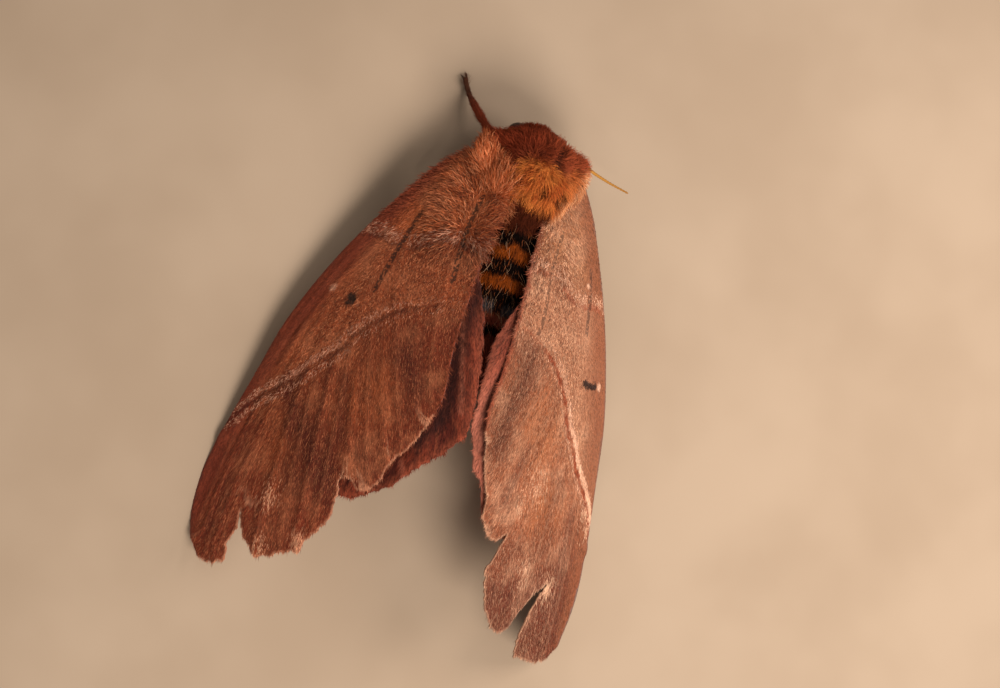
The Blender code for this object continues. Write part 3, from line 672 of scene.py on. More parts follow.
DUSKS = {"left": [[(30.5, 0.6), (32.1, 3.6), (34.9, 8.4)], [(21.0, 8.8), (22.6, 11.6)]],
         "right": [[(16.8, 8.6), (19.7, 9.9), (22.5, 11.8), (25.5, 13.2)], [(40.9, 12.4), (43.0, 10.4)],
                   [(46.6, 2.6), (46.2, 5.6)]]}
DUSK_HALF_WIDTH = 1.7
STREAK_HALF_WIDTH = 0.8
print("worn patches:", {name: len(patches) for name, patches in WORN_PATCHES.items()})

# %% Values on the net


def nearest(points, lines):
    """Distance of points from the nearest of several lines."""
    return np.min([np.abs(line_distance(points, smooth_line(line, CURVE_STEPS))) for line in lines], axis=0)


def glow(points, lines, half_width):
    """A share of 1 on lines, which fades out beside them."""
    return np.exp(-(nearest(points, lines) / half_width) ** 2)


def vein_fan(flat):
    """A coordinate that stays the same along the veins as they fan out, and the way that they run."""
    total = np.zeros(len(flat))
    fan = np.zeros(len(flat))
    way = np.zeros((len(flat), 2))
    for index, vein in enumerate(FOREWING_VEINS[:-1]):
        distance, _, along, _ = line_near(flat, smooth_line(vein, CURVE_STEPS))
        weight = 1.0 / (distance ** 2 + 0.3) ** 1.5
        total += weight
        fan += weight * index * 2.0
        way += weight[:, None] * along
    return fan / total, unit(way)


def patch_shares(flat, patches):
    """How far points lie inside round patches, from 0 outside to 1 at the middle."""
    shares = [np.exp(-((flat[:, 0] - s) ** 2 / 1.8 + (flat[:, 1] - t) ** 2) / size ** 2)
              for s, t, size in patches]
    return np.max(shares, axis=0)


def both(upper, lower=None):
    """The same values for both faces of a sheet, or one set for each."""
    return np.concatenate([upper, upper if lower is None else lower])


def keep_map_place(sheet, across, down):
    """Gives each face of a sheet its own half of the baking map, from shares of the sheet's size."""
    u = across * 0.9 + 0.05
    v = down * 0.4
    keep(sheet, "root_uv", both(columns(u, v + 0.05, 0.0), columns(u, v + 0.55, 0.0)))


def keep_on_faces(sheet, values, lower=None):
    """Keeps several values on the upper face of a sheet, and on the lower one the same or a given set."""
    for name, upper in values.items():
        keep(sheet, name, both(upper, lower))

# %% The sheet of a forewing
FOREWING_SEEDS = {"left": 11, "right": 23}
VEIN_RIDGE = 0.10
VEIN_HALF_WIDTH = 0.28
PLEAT_DEPTH = 0.10


def forewing_sheet(side_name):
    """A forewing's sheet, its flat net, and what the net's points know of veins and margins."""
    dice = np.random.default_rng(FOREWING_SEEDS[side_name])
    outer = frayed(np.array([LEADING_EDGE[-1], *OUTER_MARGIN[side_name], INNER_MARGIN[0]]), dice)
    border = np.vstack([even_steps(smooth_line(LEADING_EDGE, MARGIN_STEPS), NET_STEP)[:-1], outer[:-1],
                        even_steps(smooth_line(INNER_MARGIN, MARGIN_STEPS), NET_STEP)])
    flat, faces = wing_net(border)
    vein = nearest(flat, FOREWING_VEINS)
    fan, veins_way = vein_fan(flat)
    relief = VEIN_RIDGE * np.exp(-(vein / VEIN_HALF_WIDTH) ** 2)
    relief -= PLEAT_DEPTH * np.cos(math.pi * fan) * smoothstep(18.0, 30.0, flat[:, 0])
    sheet, ds, dt = sheet_object(f"forewing_skin_{side_name}", flat, faces,
                                 lambda u, v: forewing_surface(side_name, u, v), relief)
    edge, inward, _, _ = line_near(flat, np.vstack([border, border[:1]]))
    return SimpleNamespace(sheet=sheet, flat=flat, vein=vein, fan=fan, veins_way=veins_way, edge=edge,
                           outward=-inward, margin=np.abs(line_distance(flat, outer)), ds=ds, dt=dt)

# %% [markdown]
# ## The hair of a forewing
# At the root of the left wing the hair is long and falls to both sides of a parting. A fringe hangs over
# the inner margin, and fuzz covers the shoulder. The right wing shows the same, but flat and short. Further
# out the hair gives way to sleek scales that lie along the veins, and in a fold the coat is short.

# %% Lie, length and rise of the hair
PARTING = np.array([(3.4, 2.7), (5.3, 3.4), (6.6, 4.0)])
TUFT_REACH = 6.0
TUFT_UPSWEEP = 0.5
TUFT_STRENGTH = {"left": 1.0, "right": 0.25}


def forewing_zones(side_name, wing):
    """Adds where the long hair grows: tuft at the root, fringe on the inner margin, fuzz on the shoulder."""
    s, t = wing.flat.T
    strength = TUFT_STRENGTH[side_name]
    wing.reach, away, _, _ = line_near(wing.flat, PARTING)
    wing.away = away * wing.reach[:, None]
    wing.tuft = fade(2.0, TUFT_REACH, wing.reach) * strength
    wing.fringe = fade(0.1, 0.6, wing.edge) * smoothstep(3.0, 6.0, t)
    wing.fringe *= fade(22.0, 26.0, s)
    wing.fuzz = fade(0.2, 2.4, wing.edge) * fade(-2.0, 0.0, t)
    wing.fuzz *= fade(9.0, 14.0, s) * strength
    wing.root = fade(8.0, 14.0, s)
    wing.fold = nearest(wing.flat, FOLDS[side_name])


def forewing_way(wing):
    """The way that the hair lies: along the veins, away from the parting, and out over the margin."""
    upsweep = np.array([-TUFT_UPSWEEP, 0.0])
    return unit(wing.veins_way * (1.0 - 0.8 * wing.tuft)[:, None]
                + (wing.away / 2.0 + upsweep) * wing.tuft[:, None]
                + wing.outward * (1.2 * wing.fringe + 0.9 * wing.fuzz)[:, None])


def line_and_slope(flat, line, way):
    """Signed distance from a line of the pattern, and how fast it grows along the hair."""
    distance, out, _, side = line_near(flat, smooth_line(line, CURVE_STEPS))
    return distance * side, np.sum(out * way, axis=1) * side


def forewing_hair(side_name, wing, outer):
    """Length, rise and waywardness of the hair: long and loose at the root, short and sleek beyond."""
    s, t = wing.flat.T
    strength = TUFT_STRENGTH[side_name]
    beyond = smoothstep(-1.0, 3.0, outer)
    costal = fade(-3.6, -0.6, t)
    shaggy = 0.16 * wing.root * strength ** 0.6
    parting = smoothstep(0.3, 2.8, wing.reach)
    length = 0.42 + 0.1 * beyond - 0.12 * costal + shaggy + 0.5 * wing.tuft * parting + 0.25 * wing.fringe
    length += 0.3 * wing.tuft * fade(3.0, 5.5, s)
    length += 0.5 * wing.tuft * smoothstep(2.0, 4.5, t) + 0.3 * wing.fuzz
    length *= 0.55 + 0.45 * np.maximum(smoothstep(0.1, 0.5, wing.edge), np.maximum(wing.fringe, wing.fuzz))
    rise = np.radians(12.0 - 7.0 * beyond - 6.0 * costal + 2.0 * wing.root + 7.0 * wing.tuft
                      + 14.0 * wing.fuzz)
    stray = 1.0 - 0.6 * beyond - 0.5 * costal * (1.0 - beyond) + 1.2 * np.exp(-(wing.reach / 1.6) ** 2)
    calm = (1.0 - strength) * fade(0.5, 3.5, t) * (1.0 - beyond)
    length *= 1.0 - 0.4 * calm
    length *= 0.35 + 0.65 * smoothstep(0.25, 1.2, wing.fold)
    return length, rise * (1.0 - 0.5 * calm), stray * (1.0 - 0.7 * calm)

# %% What a forewing keeps
GROOVE_HALF_WIDTH = 0.28


def dress_forewing(side_name):
    """Makes a forewing's sheet and keeps what its finish and its hair read."""
    wing = forewing_sheet(side_name)
    forewing_zones(side_name, wing)
    way = forewing_way(wing)
    sheet, flat = wing.sheet, wing.flat
    s, t = flat.T
    inner, inner_slope = line_and_slope(flat, INNER_LINE, way)
    outer, outer_slope = line_and_slope(flat, OUTER_LINE, way)
    length, rise, stray = forewing_hair(side_name, wing, outer)
    groove = 1.0 - 0.85 * (wing.fold < GROOVE_HALF_WIDTH)
    spot = nearest(flat, SPOTS[side_name]) / SPOT_HALF_WIDTH[side_name]
    keep_on_faces(sheet, {
        "lines": columns(inner, outer, wing.fold),
        "slopes": columns(inner_slope * length, outer_slope * length, 0.0),
        "marks": columns(wing.vein, wing.margin, spot),
        "patches": columns(*[patch_shares(flat, kind[side_name]) for kind in
                             (PALE_SPOTS, WORN_PATCHES, TAN_PATCHES)]),
        "streaked": glow(flat, STREAKS[side_name], STREAK_HALF_WIDTH),
        "dusk": glow(flat, DUSKS[side_name], DUSK_HALF_WIDTH),
        "fringe": wing.fringe, "fan": wing.fan, "shade": np.full(len(s), 0.5), "stray": stray,
        "lie": unit(wing.ds * way[:, :1] + wing.dt * way[:, 1:])})
    bare = np.zeros((len(s), 3))
    keep_on_faces(sheet, {
        "root_hair": columns(wing.root * groove, length, rise),
        "scales": columns((1.0 - wing.root) * groove, length, rise),
        "dust": columns(groove, 0.3 + 0.1 * wing.root, rise)}, bare)
    keep(sheet, "under", both(bare, bare + (1.0, 0.5, 0.1)))
    keep(sheet, "place", both(columns(s, t, 1.0), columns(s, t, 0.0)))
    keep_map_place(sheet, s / WING_LENGTH, (t + 6.0) / 24.0)
    return sheet


forewings = {side_name: dress_forewing(side_name) for side_name in SIDES}
print("points of the forewings:", [len(sheet.data.vertices) for sheet in forewings.values()])

# %% [markdown]
# ## The hindwings
# Only a strip of each hindwing shows between the forewings. It is pleated lengthwise like a closed fan,
# because a hindwing folds when it is drawn under the forewing. The pleats run from a hub near the wing's
# root. Their hollows are coloured darker and their ridges lighter, as painted shade and painted highlight.
# One broad fold and a sharp crease get a painted shadow, and narrow crests beside them a painted highlight.

# %% Outlines of the hindwings, and lines of painted shade and highlight
HINDWING_OUTLINE = {
    "left": [(-5.6, -6.4), (-7.4, -10.0), (-10.2, -16.0), (-13.2, -22.5), (-14.9, -28.5), (-15.0, -32.3),
             (-13.9, -35.4), (-11.6, -37.8), (-9.2, -38.2), (-7.5, -37.2), (-5.8, -35.8), (-3.9, -33.5),
             (-2.0, -31.4), (-0.5, -29.2), (-0.5, -26.5), (-0.7, -23.5), (-1.2, -20.6), (-2.1, -16.9),
             (-3.1, -13.6), (-4.3, -9.4), (-4.9, -7.0)],
    "right": [(5.6, -6.4), (4.9, -7.0), (4.7, -9.4), (3.8, -12.4), (2.3, -14.6), (0.9, -16.6),
              (0.1, -18.8), (-0.3, -21.5), (-0.4, -25.0), (-0.3, -28.3), (0.7, -30.2), (0.9, -32.0),
              (2.2, -33.4), (3.0, -34.9), (3.6, -36.6), (6.0, -38.0), (9.0, -38.2), (11.8, -36.6),
              (13.2, -33.5), (13.0, -29.0), (11.4, -22.5), (9.2, -16.0), (7.0, -10.0)],
}
HINDWING_HUB = np.array([5.6, -7.4])
HINDWING_SEEDS = {"left": 31, "right": 47}
# Lines of painted shadow along a fold and a crease, and of painted highlight along the crests beside them.
FOLD_SHADE_LINES = [[(-2.8, -14.8), (-3.1, -18.4), (-3.3, -21.0), (-3.0, -26.4), (-3.2, -28.4), (-4.6, -31.4)]]
FOLD_SHADE_HALF_WIDTH = 0.7
CREASE_SHADE_LINES = [[(-3.4, -16.0), (-2.6, -20.0), (-1.7, -23.9), (-1.1, -27.2), (-1.0, -29.0)]]
CREASE_SHADE_HALF_WIDTH = 0.22
CREST_HIGHLIGHT_LINES = [[(-3.8, -17.4), (-3.1, -20.7), (-2.3, -24.0), (-1.6, -27.4)], [(-5.6, -33.0), (-5.0, -35.2)]]
CREST_HIGHLIGHT_HALF_WIDTH = 0.16
HINDWING_PLEAT = 0.16
PLEATS_PER_CIRCLE = 34.0

# %% What a hindwing keeps


def dress_hindwing(side_name):
    """Makes a hindwing's sheet and keeps what its finish and its hair read."""
    dice = np.random.default_rng(HINDWING_SEEDS[side_name])
    line = np.array(HINDWING_OUTLINE[side_name] + HINDWING_OUTLINE[side_name][:1])
    border = frayed(line, dice)[:-1]
    flat, faces = wing_net(border)
    x, y = flat.T
    away = flat - HINDWING_HUB * (SIDES[side_name], 1.0)
    reach = np.hypot(away[:, 0], away[:, 1])
    angle = np.arctan2(away[:, 0], -away[:, 1])
    relief = HINDWING_PLEAT * np.sin(PLEATS_PER_CIRCLE * angle) * smoothstep(2.0, 12.0, reach)
    sheet, dx, dy = sheet_object(f"hindwing_skin_{side_name}", flat, faces,
                                 lambda u, v: hindwing_surface(side_name, u, v), relief)
    edge, inward, _, _ = line_near(flat, np.vstack([border, border[:1]]))
    near_edge = fade(0.1, 0.6, edge) * smoothstep(12.0, 20.0, reach)
    way = unit(unit(away) - inward * (0.7 * near_edge)[:, None])
    length = 0.6 - 0.15 * near_edge
    # Painted shadow along the fold and the crease; the crests get a painted highlight.
    folded = np.maximum(glow(flat, FOLD_SHADE_LINES, FOLD_SHADE_HALF_WIDTH),
                        0.7 * glow(flat, CREASE_SHADE_LINES, CREASE_SHADE_HALF_WIDTH))
    keep_on_faces(sheet, {
        "folded": folded, "crest_highlight": glow(flat, CREST_HIGHLIGHT_LINES, CREST_HIGHLIGHT_HALF_WIDTH), "fan": angle * 20.0,
        "marks": columns(relief, edge, reach), "shade": np.full(len(x), 0.5), "stray": np.ones(len(x)),
        "lie": unit(dx * way[:, :1] + dy * way[:, 1:])})
    keep(sheet, "place", both(columns(x, y, 1.0), columns(x, y, 0.0)))
    keep(sheet, "scales", both(columns(1.0, length, 0.16), columns(0.3, length, 0.08)))
    keep_map_place(sheet, (x + 18.0) / 36.0, (y + 40.0) / 36.0)
    return sheet


hindwings = {side_name: dress_hindwing(side_name) for side_name in SIDES}
print("points of the hindwings:", [len(sheet.data.vertices) for sheet in hindwings.values()])

# %% [markdown]
# ## One skin over the body
# Head, thorax, abdomen, palps and legs are one soft animal, so they get one skin without seams. Simple
# closed shapes are set in place, joined, and wrapped again with an even net by a voxel remesh, which melts
# the joints together. The shapes are smaller than the solids by the depth of the coat.

# %% Sizes of the body
HEAD_LINE = 1.0
THORAX_CENTRE = np.array([0.0, -3.7, 7.5])
THORAX_HALF = np.array([4.1, 4.3, 4.0])
HEAD_CENTRE = np.array([0.0, 1.2, 5.8])
HEAD_HALF = np.array([2.1, 1.4, 1.7])
COLLAR_CENTRE = np.array([0.0, -0.8, 6.9])
COLLAR_HALF = np.array([4.7, 2.5, 2.7])
SHOULDER_CENTRE = np.array([4.2, -1.7, 7.3])
SHOULDER_HALF = np.array([1.5, 2.3, 1.4])
ABDOMEN_LENGTH = 18.0
ABDOMEN_HALF = (3.6, 3.45)
ABDOMEN_START_Z = 6.5
ABDOMEN_DROOP = 1.7
ABDOMEN_OVERLAP = 1.0
ABDOMEN_TAIL = 0.6
ABDOMEN_SECTIONS = 73
SEGMENT_LENGTH = 3.05
SEGMENT_BULGE = 0.05
SKIN_STEP = 0.2
LOWEST_SKIN = 0.02

# %% Routes of legs and palps
LEG_ROUTES = {
    "foreleg_left": [(-1.7, -0.8, 6.0, 1.0), (-3.0, -0.2, 3.4, 0.95), (-4.5, 1.5, 2.7, 0.8),
                     (-5.9, 3.3, 1.4, 0.62), (-6.7, 4.6, 0.46, 0.52), (-7.4, 5.9, 0.4, 0.62)],
    "foreleg_right": [(1.7, -0.8, 6.0, 1.0), (2.7, -0.3, 3.2, 0.95), (3.6, 0.9, 2.3, 0.75),
                      (4.3, 1.4, 1.1, 0.6), (4.0, 2.0, 0.42, 0.5), (2.7, 2.1, 0.32, 0.42)],
    "midleg_left": [(-2.4, -3.6, 5.6, 1.0), (-3.9, -3.7, 3.0, 1.0), (-5.4, -4.6, 2.5, 0.8),
                    (-6.4, -6.2, 1.3, 0.62), (-7.0, -7.9, 0.42, 0.5), (-7.6, -10.2, 0.32, 0.42)],
    "midleg_right": [(2.4, -3.6, 5.6, 1.0), (3.9, -3.7, 3.0, 1.0), (5.3, -4.7, 2.5, 0.8),
                     (6.1, -6.4, 1.3, 0.62), (6.5, -8.2, 0.42, 0.5), (6.9, -10.5, 0.32, 0.42)],
    "hindleg_left": [(-2.2, -6.1, 5.4, 1.0), (-3.7, -7.0, 3.0, 1.0), (-5.0, -9.2, 2.2, 0.85),
                     (-5.9, -12.2, 1.3, 0.62), (-6.5, -14.8, 0.42, 0.5), (-7.2, -18.0, 0.32, 0.42)],
    "hindleg_right": [(2.2, -6.1, 5.4, 1.0), (3.7, -7.0, 3.0, 1.0), (4.9, -9.2, 2.2, 0.85),
                      (5.6, -12.2, 1.3, 0.62), (6.0, -14.8, 0.42, 0.5), (6.4, -18.0, 0.32, 0.42)],
}
PALP_ROUTES = {
    "palp_left": [(-0.5, 1.4, 4.9, 0.42), (-0.62, 2.2, 4.1, 0.36), (-0.6, 2.5, 3.4, 0.22)],
    "palp_right": [(0.5, 1.4, 4.9, 0.42), (0.62, 2.2, 4.1, 0.36), (0.6, 2.5, 3.4, 0.22)],
}
LEG_FLESH = 0.62

# %% Shapes under the skin


def ringed(name, rings):
    """A closed body through rings of points."""
    count = len(rings[0])
    faces = [tuple(range(count)), tuple(range(len(rings) * count - 1, (len(rings) - 1) * count - 1, -1))]
    for k in range(len(rings) - 1):
        for i in range(count):
            a = k * count + i
            b = k * count + (i + 1) % count
            faces.append((a, a + count, b + count, b))
    obj = new_object(name, np.vstack(rings), faces)
    face_out(obj)
    return obj


def upright_ring(centre, half_width, half_height, sides=32):
    """An upright elliptic ring across the body's axis."""
    angle = np.linspace(0.0, math.tau, sides, endpoint=False)
    offsets = columns(half_width * np.sin(angle), 0.0, half_height * np.cos(angle))
    return np.asarray(centre) + offsets


def ovoid(name, centre, half, rings=24):
    """An ellipsoid."""
    sections = []
    for turn in np.linspace(-1.5, 1.5, rings):
        place = centre + np.array([0.0, half[1] * math.sin(turn), 0.0])
        sections.append(upright_ring(place, half[0] * math.cos(turn), half[2] * math.cos(turn)))
    return ringed(name, sections)


def tube(name, route, steps, sides, size_at=None):
    """A tube along a smooth route with half-thicknesses of its own, which size_at can change on the way."""
    line = smooth_line(route, steps)
    along = unit(np.gradient(line[:, :3], axis=0))
    side = unit(np.cross((0.0, 0.0, 1.0), along[0]))
    rings = []
    for k, place in enumerate(line):
        side = unit(side - along[k] * (side @ along[k]))
        above = np.cross(along[k], side)
        half = size_at(place[3], k / (len(line) - 1)) if size_at else place[3]
        angle = np.linspace(0.0, math.tau, sides, endpoint=False)[:, None]
        rings.append(place[:3] + half * (side * np.cos(angle) + above * np.sin(angle)))
    return ringed(name, rings)


def abdomen_shape():
    """The abdomen, widest in its front half, with a soft bulge to each segment."""
    sections = []
    for share in np.linspace(0.0, 1.0, ABDOMEN_SECTIONS):
        bulge = math.sin(math.pi * (0.27 + 0.70 * share)) ** 0.62
        along = share * ABDOMEN_LENGTH / SEGMENT_LENGTH
        bulge *= 1.0 - SEGMENT_BULGE + SEGMENT_BULGE * abs(math.sin(math.pi * along)) ** 0.5
        centre = (0.0, THORAX_END + ABDOMEN_OVERLAP - (ABDOMEN_LENGTH + ABDOMEN_TAIL) * share,
                  ABDOMEN_START_Z - ABDOMEN_DROOP * share ** 1.6)
        sections.append(upright_ring(centre, ABDOMEN_HALF[0] * bulge, ABDOMEN_HALF[1] * bulge))
    return ringed("abdomen_shape", sections)


def leg_thickness(half, share):
    """Flesh of a leg: thick at the thigh, waisted at the knee, thin and knobbly in the foot."""
    knees = 1.0 - 0.25 * math.exp(-((share - 0.42) / 0.03) ** 2)
    foot = smoothstep(0.62, 0.72, share)
    knobs = 1.0 - 0.16 * foot * (0.5 + 0.5 * math.cos(share * 5 * math.tau / 0.4))
    return half * (LEG_FLESH - 0.06 * foot) * knees * knobs


# %% The skin itself


def joined(objects, name):
    """Several meshes as one object."""
    work = bmesh.new()
    for obj in objects:
        work.from_mesh(obj.data)
        bpy.data.objects.remove(obj)
    mesh = bpy.data.meshes.new(name)
    work.to_mesh(mesh)
    work.free()
    return placed(name, mesh)


def applied(obj):
    """Turns an object with its modifiers into a plain mesh."""
    mesh = bpy.data.meshes.new_from_object(obj.evaluated_get(bpy.context.evaluated_depsgraph_get()))
    obj.modifiers.clear()
    obj.data = mesh
    mesh.name = obj.name
    return obj


shapes = [ovoid("head_shape", HEAD_CENTRE, HEAD_HALF), ovoid("thorax_shape", THORAX_CENTRE, THORAX_HALF),
          ovoid("collar_shape", COLLAR_CENTRE, COLLAR_HALF), abdomen_shape()]
for side in SIDES.values():
    shapes.append(ovoid("shoulder_shape", SHOULDER_CENTRE * (side, 1, 1), SHOULDER_HALF))
for name, route in LEG_ROUTES.items():
    shapes.append(tube(name, route, 16, 14, leg_thickness))
for name, route in PALP_ROUTES.items():
    shapes.append(tube(name, route, 8, 12))
body = joined(shapes, "body_skin")
remesh = body.modifiers.new("wrap", "REMESH")
remesh.mode = "VOXEL"
remesh.voxel_size = SKIN_STEP
relax = body.modifiers.new("relax", "SMOOTH")
relax.factor = 0.5
relax.iterations = 3
applied(body)
body.data.shade_smooth()
skin_points = vectors_of(body.data.vertices, "co")
skin_points[:, 2] = np.maximum(skin_points[:, 2], LOWEST_SKIN)
set_points(body, skin_points)
print("body skin:", len(body.data.polygons), "faces")

# %% [markdown]
# ## Where each kind of hair grows
# Every point of the skin gets its shares of leg, abdomen, head and thorax, which blend into each other.
# The legs are where a leg's middle line is near and the trunk's shapes are far. The rest is told by the
# place along the body.

# %% Zones of the body
TRUNK = [(THORAX_CENTRE, THORAX_HALF), (HEAD_CENTRE, HEAD_HALF), (COLLAR_CENTRE, COLLAR_HALF),
         (SHOULDER_CENTRE, SHOULDER_HALF), (SHOULDER_CENTRE * (-1, 1, 1), SHOULDER_HALF)]


def leg_nearest(points):
    """Distance to the nearest leg's middle line, the way along it and how far down it is."""
    best = np.full(len(points), FAR)
    way = np.zeros((len(points), 3))
    share = np.zeros(len(points))
    for route in LEG_ROUTES.values():
        line = smooth_line(route, 8)[:, :3]
        along = unit(np.gradient(line, axis=0))
        for k, (place, direction) in enumerate(zip(line, along)):
            distance = np.linalg.norm(points - place, axis=1)
            nearer = distance < best
            best = np.where(nearer, distance, best)
            way[nearer] = direction
            share[nearer] = k / (len(line) - 1)
    return best, way, share


leg_distance, leg_way, leg_share = leg_nearest(skin_points)
trunk = np.min([np.linalg.norm((skin_points - centre) / half, axis=1) for centre, half in TRUNK], axis=0)
x, y, z = skin_points.T
on_leg = (leg_distance < 1.25) * smoothstep(1.02, 1.2, trunk) * smoothstep(-1.0, 1.0, leg_share * 8 - 1)
on_leg *= ~((y < THORAX_END) & (np.abs(x) < 4.0) & (leg_distance > 1.0))
on_abdomen = fade(THORAX_END - 0.5, THORAX_END + 0.5, y) * (1.0 - on_leg)
on_head = smoothstep(HEAD_LINE - 0.4, HEAD_LINE + 0.4, y) * fade(6.6, 7.6, z) * (1.0 - on_leg)
on_thorax = 1.0 - np.maximum(np.maximum(on_abdomen, on_leg), on_head)
collar = on_thorax * smoothstep(-2.6, -1.4, y)
print("share of the skin on the legs:", round(float(on_leg.mean()), 2))

# %% [markdown]
# ## The lie of the coat
# The collar's hair leans forward and the rest of the thorax falls back, in loose swirls as a pelt does.
# At the root of the left wing a tuft fans out from one spot, and the right root has a paler strip of its
# own. On the abdomen the hair lies backwards, on the face down, and on a leg along it.

# %% The lie of the coat
TUFT_ROOT = np.array([-3.8, -6.2])
TUFT_EDGE = np.array([-2.0, -4.0])
TUFT_SLANT = (-3.7, -3.0)
TUFT_SLANT_LENGTH = 4.76
WING_ROOT_BORDER = np.array([(2.6, -7.0), (2.7, -5.8), (3.06, -4.9), (3.3, -4.35), (4.16, -3.0),
                             (4.75, -1.5), (5.0, -0.6)])
skin_normals = vectors_of(body.data.vertices, "normal")
swirl = 0.5 * np.sin(1.1 * x + 0.7 * y + 1.0) + 0.35 * np.sin(2.3 * x - 1.9 * y) + 0.3 * np.sin(2.9 * y + z)
front = smoothstep(-2.2 + 0.9 * swirl, 0.2 + 0.9 * swirl, y)
outward = columns((0.1 + 0.26 * front) * x, 1.8 * front - 0.95, -0.06 * np.abs(x))
outward[:, 0] += 0.8 * swirl
outward[:, 1] += 0.35 * np.cos(4.0 * swirl)
slanting = ((x - TUFT_EDGE[0]) * TUFT_SLANT[0] + (y - TUFT_EDGE[1]) * TUFT_SLANT[1]) / TUFT_SLANT_LENGTH
tuft = smoothstep(-0.3, 0.3, np.where(y > TUFT_EDGE[1], slanting, TUFT_EDGE[0] - x)) * on_thorax
tuft *= smoothstep(7.0, 8.2, z)
spread = unit(skin_points[:, :2] - TUFT_ROOT)
outward = outward * (1.0 - tuft)[:, None]
outward[:, :2] += 1.2 * spread * tuft[:, None]
backward = columns(0.12 * swirl, -1.0, -0.1)
face_way = columns(0.5 * x + 0.3 * swirl, 0.6, -1.0)
lie = (outward * on_thorax[:, None] + backward * on_abdomen[:, None]
       + leg_way * on_leg[:, None] + face_way * on_head[:, None])
lie -= skin_normals * np.sum(lie * skin_normals, axis=1, keepdims=True)
parting = np.exp(-((y + 1.2) / 1.4) ** 2) * np.exp(-(x / 3.5) ** 2) * on_thorax
border_x, border_y = WING_ROOT_BORDER.T
right_root = smoothstep(-0.35, 0.35, x - np.interp(y, border_y, border_x)) * on_thorax
right_root *= smoothstep(6.6, 7.8, z) * fade(-1.2, -0.4, y)
print("share of the skin under the left tuft:", round(float(tuft.mean()), 2))

# %% [markdown]
# ## Length of the coat, and its worn pits
# The hair is long on the thorax, shorter on head and abdomen and short on the legs, and it stands up round
# the end of the abdomen. In a few small pits of the thorax the coat is worn away. Hardly any hair grows
# there, or where its middle would hang over a pit.

# %% Length, rise and pits
PITS = [(0.4, [(2.1, 0.1), (2.0, -0.3)]), (0.36, [(1.85, -0.9), (1.6, -1.3)]),
        (0.26, [(0.6, -3.8), (0.9, -4.15), (1.3, -4.0)]), (0.42, [(2.5, -4.5), (2.9, -3.8)]),
        (0.12, [(-2.4, -3.5), (-1.2, -3.3)]), (0.14, [(-1.7, -5.2), (-0.6, -5.1)])]
BACK_Z = 8.0
NO_PIT = 9.0


def pit_reach(places):
    """How many half-widths places on the back are away from the middle of the nearest pit."""
    reaches = [np.abs(line_distance(places[:, :2], np.array(line))) / half for half, line in PITS]
    return np.where(z > BACK_Z, np.min(reaches, axis=0), NO_PIT)


foot = smoothstep(0.84, 0.94, leg_share)
tail_end = smoothstep(0.5, 0.95, -skin_normals[:, 1])
hair_length = 0.3 * tuft + 1.4 * (on_thorax - collar) + 1.05 * collar + 0.85 * on_abdomen
hair_length += 0.6 * on_head + 0.45 * on_leg - 0.2 * right_root
hair_length += on_leg * (0.4 * foot - 0.15 * smoothstep(0.5, 0.7, leg_share))
hair_length += 0.5 * on_abdomen * tail_end
hair_rise = np.radians(20.0 * on_thorax + 2.0 * collar + 15.0 * on_abdomen + 24.0 * on_head + 18.0 * on_leg)
hair_rise += on_leg * np.radians(22.0) * foot
hair_rise += on_abdomen * np.radians(50.0) * tail_end
upper_side = 0.35 + 0.65 * smoothstep(4.0, 6.5, z)
leg_density = on_leg * smoothstep(0.12, 0.45, z)
pit = pit_reach(skin_points)
hair_middle = skin_points + 0.5 * hair_length[:, None] * unit(lie)
unworn = 1.0 - 0.85 * ((pit < 1.0) | (pit_reach(hair_middle) < 0.8))
around = np.arctan2(x, z - 6.0) / math.tau + 0.5
for name, values in {
        "pit": pit, "right_root": right_root, "place": skin_points, "lie": unit(lie),
        "zone": columns(tuft, on_abdomen, on_leg), "stray": 1.0 + 1.3 * parting,
        "shade": np.full(len(x), 0.5), "leg_share": leg_share,
        "root_uv": columns(0.05 + 0.9 * around, 0.05 + 0.9 * (y + 27.0) / 36.0, 0.0)}.items():
    keep(body, name, values)
print("points of the skin in pits:", int((pit < 1.0).sum()))

# %% [markdown]
# ## A coat of slivers
# Every hair or long scale is a three-sided sliver, pointed at its tip, which is enough for light to pick
# it out. Geometry Nodes scatter points over a skin, turn a sliver along the kept lie at each, raise it by
# the kept angle, bend it back and curl it, and make all of them real mesh at the end. Each sliver has a
# small patch of its own in the baking map, at its root's place.

# %% Values inside the coat's tree


def named(tree, name, kind="FLOAT_VECTOR"):
    """Reads a kept value."""
    return add("GeometryNodeInputNamedAttribute", {"Name": name}, tree, data_type=kind).outputs["Attribute"]


def store(geometry, name, value, kind="FLOAT_VECTOR", domain="POINT"):
    """Keeps a value under a name."""
    return add("GeometryNodeStoreNamedAttribute", {"Geometry": geometry, "Name": name, "Value": value},
               data_type=kind, domain=domain).outputs[0]


def chance(lowest, highest, seed, kind="FLOAT"):
    """A random value for each hair."""
    first, result = (0, 0) if kind == "FLOAT_VECTOR" else (2, 1)
    inputs = {first: lowest, first + 1: highest, "Seed": seed}
    return add("FunctionNodeRandomValue", inputs, data_type=kind).outputs[result]

# %% One sliver


def sliver(tree, steps):
    """A three-sided pointed sliver of length 1, with its place along and across kept on it."""
    cone = add("GeometryNodeMeshCone", {"Vertices": 3, "Side Segments": steps, "Radius Top": 0.0,
                                        "Radius Bottom": 0.5, "Depth": 1.0}, fill_type="NGON")
    x, y, z = parts_of(add("GeometryNodeInputPosition", tree=tree).outputs[0])
    mesh = store(cone.outputs["Mesh"], "along", z, "FLOAT")
    mesh = store(mesh, "across", plus(y, 0.5), "FLOAT")
    fuller = maths("POWER", maths("MAXIMUM", minus(1.0, z), 0.02), -0.5)
    wide = combined(times(x, fuller), times(y, fuller), z)
    return add("GeometryNodeSetPosition", {"Geometry": mesh, "Position": wide}).outputs[0]

# %% Planting and curling


